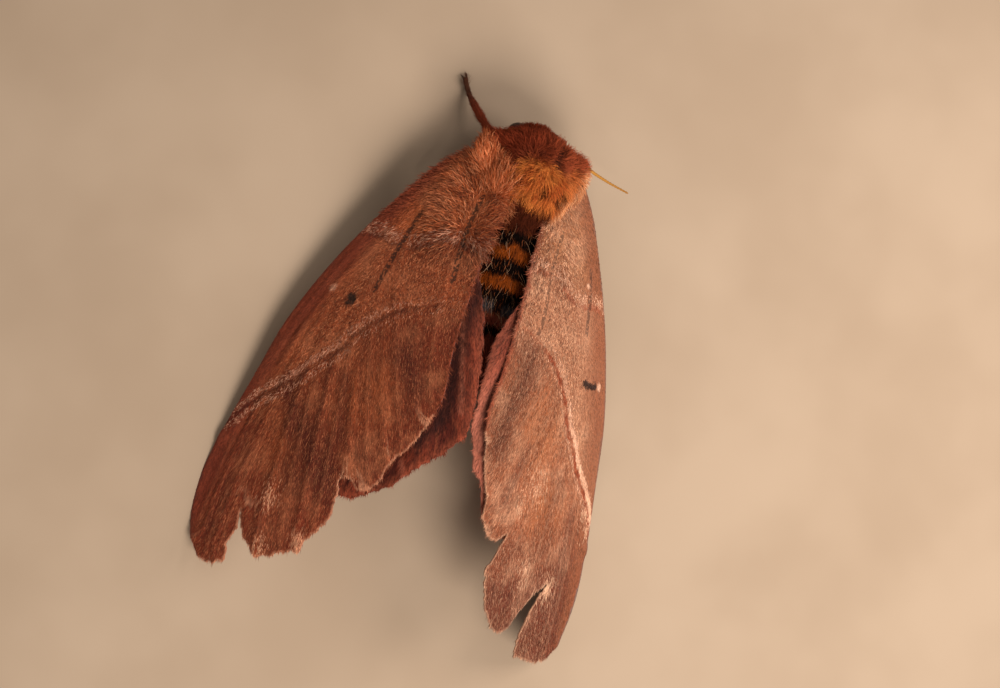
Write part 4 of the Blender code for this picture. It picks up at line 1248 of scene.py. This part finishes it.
def coat_sockets(tree):
    """What a coat is told: a skin, its numbers and a finish."""
    kinds = {"Skin": "Geometry", "Density": "Float", "Width": "Float", "Thinness": "Float",
             "Scatter": "Float", "Bend": "Float", "Curl": "Float", "Turns": "Float", "Steps": "Int",
             "Seed": "Int", "Finish": "Material"}
    for name, kind in kinds.items():
        tree.interface.new_socket(name, in_out="INPUT", socket_type=f"NodeSocket{kind}")
    tree.interface.new_socket("Coat", in_out="OUTPUT", socket_type="NodeSocketGeometry")
    return tree.nodes.new("NodeGroupInput").outputs


def hair_way(tree, given, normal, rise, seed):
    """The way of each hair: along the kept lie, raised by its angle, and a little astray."""
    flat = vector_maths("SCALE", named(tree, "lie"), scale=maths("COSINE", rise))
    raised = vector_maths("SCALE", normal, scale=maths("SINE", rise))
    stray = vector_maths("SCALE", chance((-1, -1, -1), (1, 1, 1), seed, "FLOAT_VECTOR"),
                         scale=times(given["Scatter"], named(tree, "stray", "FLOAT")))
    return vector_maths("NORMALIZE", vector_maths("ADD", vector_maths("ADD", flat, raised), stray))


def planted(tree, given):
    """Straight slivers at random points of the skin, which keep the arch and the sway that they get."""
    seeds = [plus(given["Seed"], k) for k in range(6)]
    density, length, rise = parts_of(named(tree, "hair"))
    scatter = add("GeometryNodeDistributePointsOnFaces",
                  {"Mesh": given["Skin"], "Density": times(density, given["Density"]), "Seed": given["Seed"]})
    normal = scatter.outputs["Normal"]
    way = hair_way(tree, given, normal, rise, seeds[2])
    size = times(length, chance(0.65, 1.2, seeds[3]))
    sideways = vector_maths("NORMALIZE", vector_maths("CROSS_PRODUCT", way, normal))
    points = store(scatter.outputs["Points"], "shade", chance(0.0, 1.0, seeds[1]), "FLOAT")
    points = store(points, "arch", vector_maths("SCALE", normal, scale=times(size, given["Bend"])))
    points = store(points, "sway", vector_maths("SCALE", sideways, scale=times(size, given["Curl"])))
    points = store(points, "phase", chance(0.0, math.tau, seeds[4]), "FLOAT")
    turn = add("FunctionNodeAxesToRotation", {"Primary Axis": way, "Secondary Axis": normal},
               primary_axis="Z", secondary_axis="X").outputs[0]
    width = times(given["Width"], chance(0.7, 1.3, seeds[5]))
    scale = combined(times(width, given["Thinness"]), width, size)
    hairs = add("GeometryNodeInstanceOnPoints", {"Points": points, "Instance": sliver(tree, given["Steps"]),
                                                 "Rotation": turn, "Scale": scale}).outputs[0]
    return add("GeometryNodeRealizeInstances", {"Geometry": hairs}).outputs[0]


def curled(tree, coat, turns):
    """Bends every sliver in an arch and lets it sway from side to side."""
    along = named(tree, "along", "FLOAT")
    hump = times(times(along, minus(1.0, along)), 4.0)
    wave = plus(times(along, times(turns, math.tau)), named(tree, "phase", "FLOAT"))
    shift = vector_maths("ADD", vector_maths("SCALE", named(tree, "arch"), scale=hump),
                         vector_maths("SCALE", named(tree, "sway"), scale=times(maths("SINE", wave), along)))
    return add("GeometryNodeSetPosition", {"Geometry": coat, "Offset": shift}).outputs[0]

# %% The tree that grows a coat
PATCH = 0.003


def coat_tree():
    """Grows a coat on a skin that keeps lie, stray, hair (density, length, rise) and root_uv."""
    tree = bpy.data.node_groups.new("coat", "GeometryNodeTree")
    given = coat_sockets(tree)
    coat = curled(tree, planted(tree, given), given["Turns"])
    patch = combined(named(tree, "across", "FLOAT"), named(tree, "along", "FLOAT"))
    spot = vector_maths("ADD", named(tree, "root_uv"), vector_maths("SCALE", patch, scale=PATCH))
    coat = store(coat, "OFBake", spot, "FLOAT2", "CORNER")
    coat = add("GeometryNodeSetMaterial", {"Geometry": coat, "Material": given["Finish"]}).outputs[0]
    tree.links.new(coat, tree.nodes.new("NodeGroupOutput").inputs["Coat"])
    return tree


COAT = coat_tree()
print("nodes in the coat's tree:", len(COAT.nodes))

# %% Growing a coat
PLAIN_COAT = dict(steps=1, thinness=0.35, scatter=0.12, bend=0.1, curl=0.0, turns=1.0, seed=1)
HELPER_VALUES = ("arch", "sway", "phase", "lie", "hair", "stray", "root_uv", "across", "root_hair", "scales",
                 "dust", "under", "body_hair")


def grow(name, skin, hair, finish, slot, **look):
    """Grows a coat on a skin as a piece of its own, from the kept value that tells density, length, rise."""
    obj = placed(name, skin.data.copy())
    keep(obj, "hair", vectors_of(obj.data.attributes[hair].data, "vector"))
    modifier = obj.modifiers.new("coat", "NODES")
    modifier.node_group = COAT
    told = {**PLAIN_COAT, **look, "finish": finish}
    for item in COAT.interface.items_tree:
        if item.name.lower() in told:
            modifier[item.identifier] = told[item.name.lower()]
    applied(obj)
    for value in HELPER_VALUES:
        if value in obj.data.attributes:
            obj.data.attributes.remove(obj.data.attributes[value])
    settle(obj, finish, slot)


# %% [markdown]
# ## The finish of the wings
# The scales are pinkish tan near the root and rusty beyond the outer line, with dusky areas and darker
# streaks between the veins. The stiff leading edge is a plainer band, and the torn rim is rubbed pale.
# Every sliver takes its own shade, and near a line of the pattern its own side of it, so the wing looks
# combed rather than painted. Sheet and slivers share one recipe.

# %% Tones of the forewings
WING_TONES = {
    "left": dict(root=(184, 94, 51), median=(158, 78, 44), distal=(120, 49, 27), tip=(124, 50, 27),
                 light=(202, 125, 84), tan=(164, 82, 42), dark=(82, 30, 18), edge=(128, 54, 34),
                 line=(66, 20, 12), border=(210, 150, 120), worn=(216, 152, 116), spot=(36, 26, 20),
                 fringe=(120, 52, 28), dusk=(96, 38, 22)),
    "right": dict(root=(164, 107, 73), median=(164, 108, 78), distal=(152, 88, 58), tip=(100, 44, 26),
                  light=(210, 158, 124), tan=(172, 102, 62), dark=(98, 44, 27), edge=(133, 75, 48),
                  line=(140, 58, 28), border=(218, 168, 138), worn=(208, 160, 128), spot=(30, 12, 8),
                  fringe=(136, 60, 38), dusk=(98, 49, 29)),
}
LINE_STRENGTH = {"left": 0.55, "right": 0.85}
LINE_ENDS = {"left": (9.0, 7.0), "right": (8.0, 5.4)}
DOT_STRENGTH = {"left": 0.78, "right": 0.6}
RIM_REACH = {"left": 3.0, "right": 0.9}
LINE_BORDERS = {"left": [(-0.62, 0.34, 0.6), (0.55, 0.26, 0.45)],
                "right": [(-0.6, 0.38, 0.75), (0.5, 0.22, 0.4)]}
SPECKLED_FROM = {"left": (-2.8, 0.4), "right": (-1.8, 2.4)}
COSTAL_BAND = {"left": (-1.0, -3.0), "right": (0.5, -2.6)}
print("tones for each forewing:", len(WING_TONES["left"]))

# %% Areas of a forewing


def wing_patches(tree, tones, place, outer, inner):
    """The broad areas of a forewing: root, middle and outer part, with the dark streaks of the outer one."""
    s = parts_of(place)[0]
    tan = parts_of(kept(tree, "patches"))[2]
    vein = parts_of(kept(tree, "marks"))[0]
    flat = vector_maths("MULTIPLY", place, (1.0, 1.0, 0.0))
    broad = noise(combined(times(s, 0.12), times(kept_value(tree, "fan"), 0.5)), 1.3)
    beyond = ramp(outer, -1.0, 2.5)
    cloudy = ramp(noise(flat, 0.22, 3.0, 0.55), 0.46, 0.66, 0.0, 0.45)
    dark = times(ramp(broad, 0.46, 0.7), ramp(outer, -2.0, 4.0, 0.2, 0.5))
    return layered(blend(beyond, tones["median"], tones["distal"]), [
        (ramp(s, 32.0, 42.0), tones["tip"]),
        (ramp(inner, 1.0, -2.5), tones["root"]),
        (times(cloudy, ramp(s, 32.0, 42.0, 1.0, 0.4)), tones["light"]),
        (times(tan, 0.75), tones["tan"]),
        (times(kept_value(tree, "dusk"), 0.92), tones["dusk"]),
        (maths("MAXIMUM", dark, times(kept_value(tree, "streaked"), 0.62)), tones["dark"]),
        (times(ramp(vein, 0.35, 0.05, 0.0, 0.14), beyond), tones["light"])])

# %% Lines and marks of a forewing


def line_layers(side_name, t, outer, inner, broken, dice):
    """The two lines that cross a forewing, each dark with pale borders of single scales."""
    tones = WING_TONES[side_name]
    layers = []
    for middle, half, strength in LINE_BORDERS[side_name]:
        beside = ramp(absolute(minus(outer, middle)), half + 0.2, half - 0.2)
        share = times(beside, ramp(t, 7.0, 1.0, 0.2 * strength, strength))
        layers.append((picked(dice, share), tones["border"]))
    core = times(ramp(absolute(outer), 0.34, 0.14, 0.0, LINE_STRENGTH[side_name]),
                 ramp(t, *LINE_ENDS[side_name], 0.25, 1.0))
    layers.append((times(core, ramp(broken, 0.38, 0.56, 0.4, 1.0)), tones["line"]))
    layers.append((picked(dice, ramp(absolute(inner), 1.1, 0.3, 0.0, 0.4)), tones["border"]))
    core = ramp(absolute(minus(inner, 0.7)), 0.5, 0.15, 0.0, 0.5)
    layers.append((times(core, ramp(broken, 0.4, 0.56, 0.1, 1.0)), tones["line"]))
    return layers


def wing_marks(tree, side_name, tone, place, outer, inner, dice):
    """The stiff leading edge, the two lines, the dotted folds and the spots."""
    tones = WING_TONES[side_name]
    t = parts_of(place)[1]
    fold = absolute(parts_of(kept(tree, "lines"))[2])
    pale = parts_of(kept(tree, "patches"))[0]
    spot = parts_of(kept(tree, "marks"))[2]
    flat = vector_maths("MULTIPLY", place, (1.0, 1.0, 0.0))
    ragged = times(minus(noise(flat, 2.4, 3.0, 0.65), 0.5), 1.2)
    costal = ramp(plus(t, ragged), *COSTAL_BAND[side_name])
    dots = times(ramp(fold, 0.34, 0.2), ramp(noise(flat, 3.0, 1.0), 0.38, 0.5))
    jagged = plus(spot, times(ragged, 2.4))
    return layered(tone, [
        (times(costal, 0.85), tones["edge"]),
        *line_layers(side_name, t, plus(outer, ragged), plus(inner, ragged), noise(flat, 0.8), dice),
        (times(dots, DOT_STRENGTH[side_name]), tones["spot"]),
        (ramp(jagged, 1.1, 0.6, 0.0, 0.92), tones["spot"]),
        (ramp(pale, 0.3, 0.7, 0.0, 0.85), tones["border"])])

# %% Wear and single scales
SECOND_DICE = 7.31
THIRD_DICE = 13.7


def wing_wear(tree, side_name, tone, thin, dice):
    """Worn patches, the darker fringe and the rubbed rim, which reaches in along the veins."""
    tones = WING_TONES[side_name]
    worn = parts_of(kept(tree, "patches"))[1]
    margin = parts_of(kept(tree, "marks"))[1]
    torn = times(ramp(margin, RIM_REACH[side_name], 0.0, 0.0, 0.55), ramp(thin, 0.58, 0.64))
    return layered(tone, [
        (picked(dice, times(worn, ramp(thin, 0.4, 0.6, 0.2, 1.0))), tones["worn"]),
        (times(kept_value(tree, "fringe"), 0.8), tones["fringe"]),
        (maths("MAXIMUM", ramp(margin, 0.2, 0.08, 0.0, 0.4), torn), tones["worn"])])


def wing_finish(side_name):
    """The scales of a forewing: areas, then marks, then wear, then the shade of every single scale."""
    tones = WING_TONES[side_name]
    material, tree, shader = new_material(f"scales_{side_name}", 0.75, 0.1)
    place = kept(tree, "place")
    s, t, _ = parts_of(place)
    along = kept_value(tree, "along")
    run = vector_maths("SCALE", kept(tree, "slopes"), scale=along)
    inner, outer, _ = parts_of(vector_maths("ADD", kept(tree, "lines"), run))
    shade = kept_value(tree, "shade")
    second = other_dice(shade, SECOND_DICE)
    third = other_dice(shade, THIRD_DICE)
    comb = combined(times(s, 0.35), times(kept_value(tree, "fan"), 2.2))
    speckled = times(ramp(outer, -1.0, 3.0, 1.0, 0.4), ramp(t, *SPECKLED_FROM[side_name], 0.2, 1.0))
    tone = layered(wing_patches(tree, tones, place, outer, inner), [
        (times(times(picked(third, 0.34), speckled), 0.8), tones["dark"]),
        (times(times(picked(second, 0.3), speckled), 0.95), tones["light"])])
    tone = wing_marks(tree, side_name, tone, place, outer, inner, second)
    tone = wing_wear(tree, side_name, tone, noise(comb, 1.0, 3.0, 0.6), third)
    # Each scale's own random tone, made darker at its root and lighter at its tip as painted shade where the
    # coat covers the roots.
    brightness = plus(ramp(shade, 0.0, 1.0, 0.5, 1.46), times(along, 0.14))
    show(shader, tone, brightness, noise(vector_maths("MULTIPLY", comb, (4.0, 4.0, 1.0)), 1.5))
    return material


wing_finishes = {side_name: wing_finish(side_name) for side_name in SIDES}
print("nodes in a forewing's finish:", len(wing_finishes["left"].node_tree.nodes))

# %% Colours of the hindwings


def hindwing_finish():
    """Darker, redder scales; painted shade in pleat hollows, fold and crease, painted highlights on crests,
    and painted light on the right strip that the forewing shades.
    """
    material, tree, shader = new_material("scales_hindwing", 0.78, 0.12)
    pleat, edge, reach = parts_of(kept(tree, "marks"))
    x, y, _ = parts_of(kept(tree, "place"))
    comb = combined(times(reach, 0.25), kept_value(tree, "fan"))
    # The pleats' hollows are painted darker and their ridges lighter: painted shade and highlight from the
    # relief.
    tone = layered(blend(ramp(pleat, -0.12, 0.14), (86, 28, 16), (124, 49, 28)), [
        (ramp(noise(comb, 1.6, 3.0, 0.6), 0.46, 0.64, 0.0, 0.75), (70, 22, 12)),
        (ramp(noise(comb, 2.9), 0.5, 0.66, 0.0, 0.45), (158, 78, 50)),
        (ramp(edge, 1.2, 0.2, 0.0, 0.4), (150, 72, 46)),
        # Painted shadow in the fold and the crease, and a painted highlight on the crests.
        (times(kept_value(tree, "folded"), 0.85), (46, 14, 8)),
        (times(kept_value(tree, "crest_highlight"), 0.7), (176, 100, 76)),
        # Painted light: the right hindwing's strip beside the midline is lightened where the forewing shades
        # it.
        (times(ramp(x, -0.6, -0.2), ramp(y, -20.0, -28.0, 0.1, 0.65)), (186, 112, 90))])
    show(shader, tone, ramp(kept_value(tree, "shade"), 0.0, 1.0, 0.52, 1.4), noise(comb, 6.0))
    return material


hindwing_scales = hindwing_finish()

# %% Coats of the wings
ROOT_HAIR_DENSITY = {"left": 74.0, "right": 46.0}
FOREWING_COATS = {
    "root_coat": dict(hair="root_hair", width=0.07, steps=3, scatter=0.4, bend=0.14, curl=0.1, seed=3),
    "coat": dict(hair="scales", density=80.0, width=0.07, scatter=0.5, bend=0.06, seed=5),
    "dust": dict(hair="dust", density=36.0, width=0.06, scatter=0.7, bend=0.3, seed=9),
    "under_coat": dict(hair="under", density=14.0, width=0.12, scatter=0.15, bend=0.06, seed=6),
}
HINDWING_COAT = dict(hair="scales", density=42.0, width=0.08, scatter=0.3, bend=0.06, seed=7)
for side_name in SIDES:
    wing = forewings[side_name]
    scales = wing_finishes[side_name]
    for coat_name, look in FOREWING_COATS.items():
        look = {"density": ROOT_HAIR_DENSITY[side_name], **look}
        grow(f"forewing_{coat_name}_{side_name}", wing, finish=scales, slot="wing_scales", **look)
    grow(f"hindwing_coat_{side_name}", hindwings[side_name], finish=hindwing_scales,
         slot="hindwing_scales", **HINDWING_COAT)
    settle(wing, scales, "wing_scales", f"forewing_{side_name}")
    settle(hindwings[side_name], hindwing_scales, "hindwing_scales", f"hindwing_{side_name}")

# %% [markdown]
# ## The finish of the body
# The head and the collar are dark red, the back of the thorax is orange, and the tuft at the left wing's
# root and the strip at the right one are paler. The abdomen wears black bands on orange that run back in a
# small point on the midline, and a patch behind the third band is rubbed bare. The pits of the thorax show
# dark skin. The legs are red-brown, and darker towards the feet.

# %% Colours of thorax and abdomen
BLACK_BANDS = [(-8.2, -10.0, 0.6), (-11.1, -12.9, 0.15), (-14.1, -15.7, 0.15), (-17.8, -18.8, 0.15)]
DUSK_START = -8.3
BARE_PATCH = (-15.5, -16.6)
TAIL_START = -16.7


def band(value, start, end, soft=0.16):
    """1 from a start down to an end, with soft borders."""
    return times(ramp(value, start + soft, start - soft), ramp(value, end - soft, end + soft))


def bulge(x, y, centre, half):
    """1 in the middle of an oval on the back, 0 outside it."""
    across = maths("DIVIDE", minus(x, centre[0]), half[0])
    down = maths("DIVIDE", minus(y, centre[1]), half[1])
    return ramp(plus(times(across, across), times(down, down)), 1.3, 0.6)


def thorax_tone(x, y, wobble, dice):
    """Dark red in front and on the left, orange in the middle, brown behind, golden on the right."""
    x = plus(x, times(wobble, 1.2))
    y = plus(y, wobble)
    front = plus(y, plus(ramp(x, -1.6, -2.8, 0.0, 2.0), ramp(x, 1.6, 2.4, 0.0, 0.4)))
    orange = blend(ramp(wobble, -0.12, 0.12), (176, 84, 38), (212, 124, 58))
    return layered(blend(ramp(x, -3.0, 2.5), (118, 48, 28), (160, 80, 50)), [
        (bulge(x, y, (4.2, -3.6), (2.2, 2.8)), (200, 112, 58)),
        (bulge(x, y, (0.3, -3.7), (2.7, 2.7)), orange),
        (ramp(y, -5.1, -5.9), (66, 26, 11)),
        (ramp(front, -1.7, -0.3), blend(ramp(x, -1.5, 3.5), (126, 50, 28), (152, 70, 42))),
        (ramp(y, 0.8, 2.2, 0.0, 0.6), (92, 34, 18)),
        (times(picked(dice, 0.2), 0.45), (70, 26, 14))])


def abdomen_tone(x, y, wobble, dice):
    """Black bands on orange, one bare patch, and a pinkish red tail end, lightened as painted light where it
    lies in shadow.
    """
    y = plus(y, times(wobble, 0.45))
    middle = absolute(x)
    near_middle = ramp(middle, 0.7, 0.1)
    black = 0.0
    for start, end, point in BLACK_BANDS:
        black = maths("MAXIMUM", black, band(plus(y, times(near_middle, -point)), start, end))
    skin = blend(ramp(middle, 0.3, 0.6), (30, 14, 10), (76, 70, 72))
    # The tail end is pinkish red of its own, made lighter as painted light because it lies in shadow.
    return layered(blend(ramp(y, TAIL_START + 0.3, TAIL_START - 0.3), (136, 62, 16), (140, 66, 50)), [
        (black, (14, 6, 4)),
        (ramp(y, DUSK_START - 0.1, DUSK_START + 0.4), (62, 24, 12)),
        (band(y, *BARE_PATCH), skin),
        (times(picked(dice, 0.05), 0.5), (160, 84, 44))])

# %% Finishes of the body


def body_finish():
    """Hair of the body, by zone."""
    material, tree, shader = new_material("body_hair", 0.9, 0.02, gloss=0.03)
    place = kept(tree, "place")
    x, y, _ = parts_of(place)
    tuft, abdomen, leg = parts_of(kept(tree, "zone"))
    shade = kept_value(tree, "shade")
    dice = other_dice(shade, SECOND_DICE)
    wobble = minus(noise(place, 0.7, 3.0), 0.5)
    tone = layered(thorax_tone(x, y, wobble, dice), [
        (tuft, blend(picked(dice, 0.35), (192, 100, 58), (226, 142, 96))),
        (kept_value(tree, "right_root"), blend(picked(dice, 0.4), (182, 112, 70), (214, 154, 112))),
        (ramp(kept_value(tree, "pit"), 1.5, 0.8, 0.0, 0.85), (26, 8, 4)),
        (abdomen, abdomen_tone(x, y, wobble, dice)),
        (leg, blend(ramp(kept_value(tree, "leg_share"), 0.5, 0.8), (124, 54, 34), (84, 50, 36))),
        (ramp(noise(place, 1.6), 0.56, 0.7, 0.0, 0.55), (40, 16, 10))])
    # Each hair's own random tone, made darker at its root and lighter at its tip as painted shade where the
    # coat covers the roots.
    brightness = plus(ramp(shade, 0.0, 1.0, 0.66, 1.2), times(kept_value(tree, "along"), 0.26))
    show(shader, tone, brightness, noise(place, 9.0), depth=0.0001)
    return material


body_hair = body_finish()


def wisp_finish():
    """Single long pale hairs."""
    material, tree, shader = new_material("wisp_hair", 0.6)
    show(shader, blend(kept_value(tree, "shade"), (150, 96, 60), (214, 168, 132)))
    return material


wisp_hair = wisp_finish()

# %% Coats of the body
COATS = {
    "thorax": ((on_thorax - collar) * upper_side * unworn, dict(density=78.0, width=0.068, scatter=0.34)),
    "collar": (collar * upper_side * unworn, dict(density=80.0, width=0.068, scatter=0.38)),
    "head": (on_head, dict(density=62.0, width=0.075, scatter=0.36)),
    "abdomen": (on_abdomen * upper_side, dict(density=62.0, width=0.075, scatter=0.24, steps=2)),
    "leg": (leg_density, dict(density=52.0, width=0.06, scatter=0.3, steps=2)),
}


def grow_on_body(name, share, length, rise, finish, slot, **look):
    """Grows a coat on the body's skin, with its own density, length and rise at each point."""
    keep(body, "body_hair", columns(share, length, rise))
    grow(name, body, "body_hair", finish, slot, **look)
    body.data.attributes.remove(body.data.attributes["body_hair"])


for seed, (zone_name, (share, look)) in enumerate(COATS.items(), start=20):
    slot = "thorax_hair" if zone_name == "collar" else f"{zone_name}_hair"
    look = {"steps": 3, "bend": 0.14, "curl": 0.07, "seed": seed, **look}
    grow_on_body(f"{zone_name}_coat", share, hair_length, hair_rise, body_hair, slot, **look)
grow_on_body("abdomen_wisps", on_abdomen * smoothstep(7.5, 8.5, z), 2.0, 0.5, wisp_hair, "abdomen_hair",
             density=1.1, width=0.03, steps=7, thinness=0.8, scatter=0.55, bend=0.22, curl=0.1, turns=0.8,
             seed=31)
settle(body, body_hair, "thorax_hair", "head", "thorax", "abdomen", *LEG_ROUTES, *PALP_ROUTES)

# %% [markdown]
# ## Eyes and antennae
# The eyes are dark domes of tiny lenses, half hidden by hair. The antennae of this female are thin golden
# feelers with a short tooth on each side of every joint. Each foot ends in two small claws.

# %% Eyes
EYE_CENTRE = np.array([1.75, 1.3, 5.4])
EYE_RADIUS = 1.15
LENSES_PER_METRE = 9000.0


def eye_finish():
    """Dark, glossy, with a net of lenses."""
    material, tree, shader = new_material("eye_lenses", 0.25)
    inputs = {"Vector": object_place(tree), "Scale": LENSES_PER_METRE}
    lenses = add("ShaderNodeTexVoronoi", inputs, feature="F1").outputs[0]
    show(shader, blend(ramp(lenses, 0.1, 0.7), (62, 40, 34), (20, 12, 12)), height=lenses, strength=0.6,
         depth=0.00003)
    return material


eye_lenses = eye_finish()
for side_name, side in SIDES.items():
    eye = ovoid(f"eye_dome_{side_name}", EYE_CENTRE * (side, 1, 1), np.full(3, EYE_RADIUS), 32)
    settle(eye, eye_lenses, "eye_glass", f"eye_{side_name}")

# %% Antennae
ANTENNA_ROUTES = {
    "antenna_left": [(-0.9, 1.1, 6.9, 0.36), (-2.4, 1.35, 7.1, 0.36), (-4.0, 0.6, 5.8, 0.35),
                     (-4.7, -0.6, 3.9, 0.32), (-6.2, -2.8, 2.9, 0.28), (-8.2, -6.2, 2.2, 0.2)],
    "antenna_right": [(0.9, 1.1, 6.8, 0.36), (2.3, 1.4, 7.0, 0.36), (4.2, 0.7, 6.8, 0.35),
                      (6.1, -0.1, 6.2, 0.32), (8.6, -0.6, 5.0, 0.28), (11.5, -0.95, 3.6, 0.2)],
}
ANTENNA_STALK = 0.7
ANTENNA_JOINTS = 40
TOOTH_LENGTH = 0.3
TOOTH_HALF = 0.06


def antenna_finish():
    """Golden horn, browner towards the tip."""
    material, tree, shader = new_material("antenna_horn", 0.5)
    show(shader, blend(kept_value(tree, "along"), (192, 136, 50), (146, 96, 38)))
    return material


def stalk_thickness(half, share):
    """The stalk of an antenna: waisted at each joint and thinner towards its tip."""
    joints = 1.0 - 0.14 * math.cos(share * ANTENNA_JOINTS * math.tau)
    return half * ANTENNA_STALK * joints * (1.0 - 0.45 * share)


def cone(name, base, tip, half, sides=5):
    """A thin pointed cone from a base to a tip."""
    along = tip - base
    across = unit(np.cross(along, (0.3, 0.2, 1.0)))
    above = unit(np.cross(across, along))
    turn = np.linspace(0.0, math.tau, sides, endpoint=False)[:, None]
    ring = base + half * (across * np.cos(turn) + above * np.sin(turn))
    faces = [tuple(range(sides))] + [((k + 1) % sides, k, sides) for k in range(sides)]
    obj = new_object(name, np.vstack([ring, tip]), faces)
    face_out(obj)
    return obj


def antenna_teeth(name, route):
    """A short tooth on each side of every joint, pointing a little forward."""
    line = smooth_line(route, 40)
    along = unit(np.gradient(line[:, :3], axis=0))
    teeth = []
    for k in np.linspace(6, len(line) - 5, ANTENNA_JOINTS).astype(int):
        across = unit(np.cross(along[k], (0.0, 0.0, 1.0)))
        for way in (-1, 1):
            tip = line[k, :3] + (across * way + 0.6 * along[k]) * TOOTH_LENGTH * (1.1 - 0.6 * k / len(line))
            teeth.append(cone(f"{name}_tooth", line[k, :3], tip, TOOTH_HALF))
    return teeth


antenna_horn = antenna_finish()
for name, route in ANTENNA_ROUTES.items():
    stalk = tube(f"{name}_stalk", route, 40, 10, stalk_thickness)
    antenna = joined([stalk, *antenna_teeth(name, route)], f"{name}_feeler")
    antenna.data.shade_smooth()
    reach = np.abs(vectors_of(antenna.data.vertices, "co")[:, 0]) / abs(route[-1][0])
    keep(antenna, "along", np.clip(reach, 0.0, 1.0))
    settle(antenna, antenna_horn, "antenna_horn", name)

# %% Claws
CLAW_HALF = 0.07


def claw_finish():
    """Dark brown horn."""
    material, tree, shader = new_material("claw_horn", 0.35)
    mottled = ramp(noise(object_place(tree), 4000.0), 0.3, 0.7)
    show(shader, blend(mottled, (46, 26, 18), (70, 42, 28)))
    return material


def claws(name, route):
    """Two small claws that part at the end of a foot."""
    foot = np.array(route[-1][:3])
    along = unit((foot - np.array(route[-2][:3])) * (1.0, 1.0, 0.0))
    across = np.array([-along[1], along[0], 0.0])
    pair = []
    for way in (-1, 1):
        base = foot + across * way * 0.1 - along * 0.1
        bend = foot + across * way * 0.26 + along * 0.22 + (0.0, 0.0, -0.04)
        tip = foot + across * way * 0.34 + along * 0.42 + (0.0, 0.0, 0.08 - foot[2])
        curve = [(*base, CLAW_HALF), (*bend, CLAW_HALF * 0.75), (*tip, CLAW_HALF * 0.2)]
        pair.append(tube(f"{name}_claw", curve, 5, 8))
    return joined(pair, f"{name}_claws")


claw_horn = claw_finish()
for name, route in LEG_ROUTES.items():
    claw_pair = claws(name, route)
    claw_pair.data.shade_smooth()
    settle(claw_pair, claw_horn, "leg_hair")
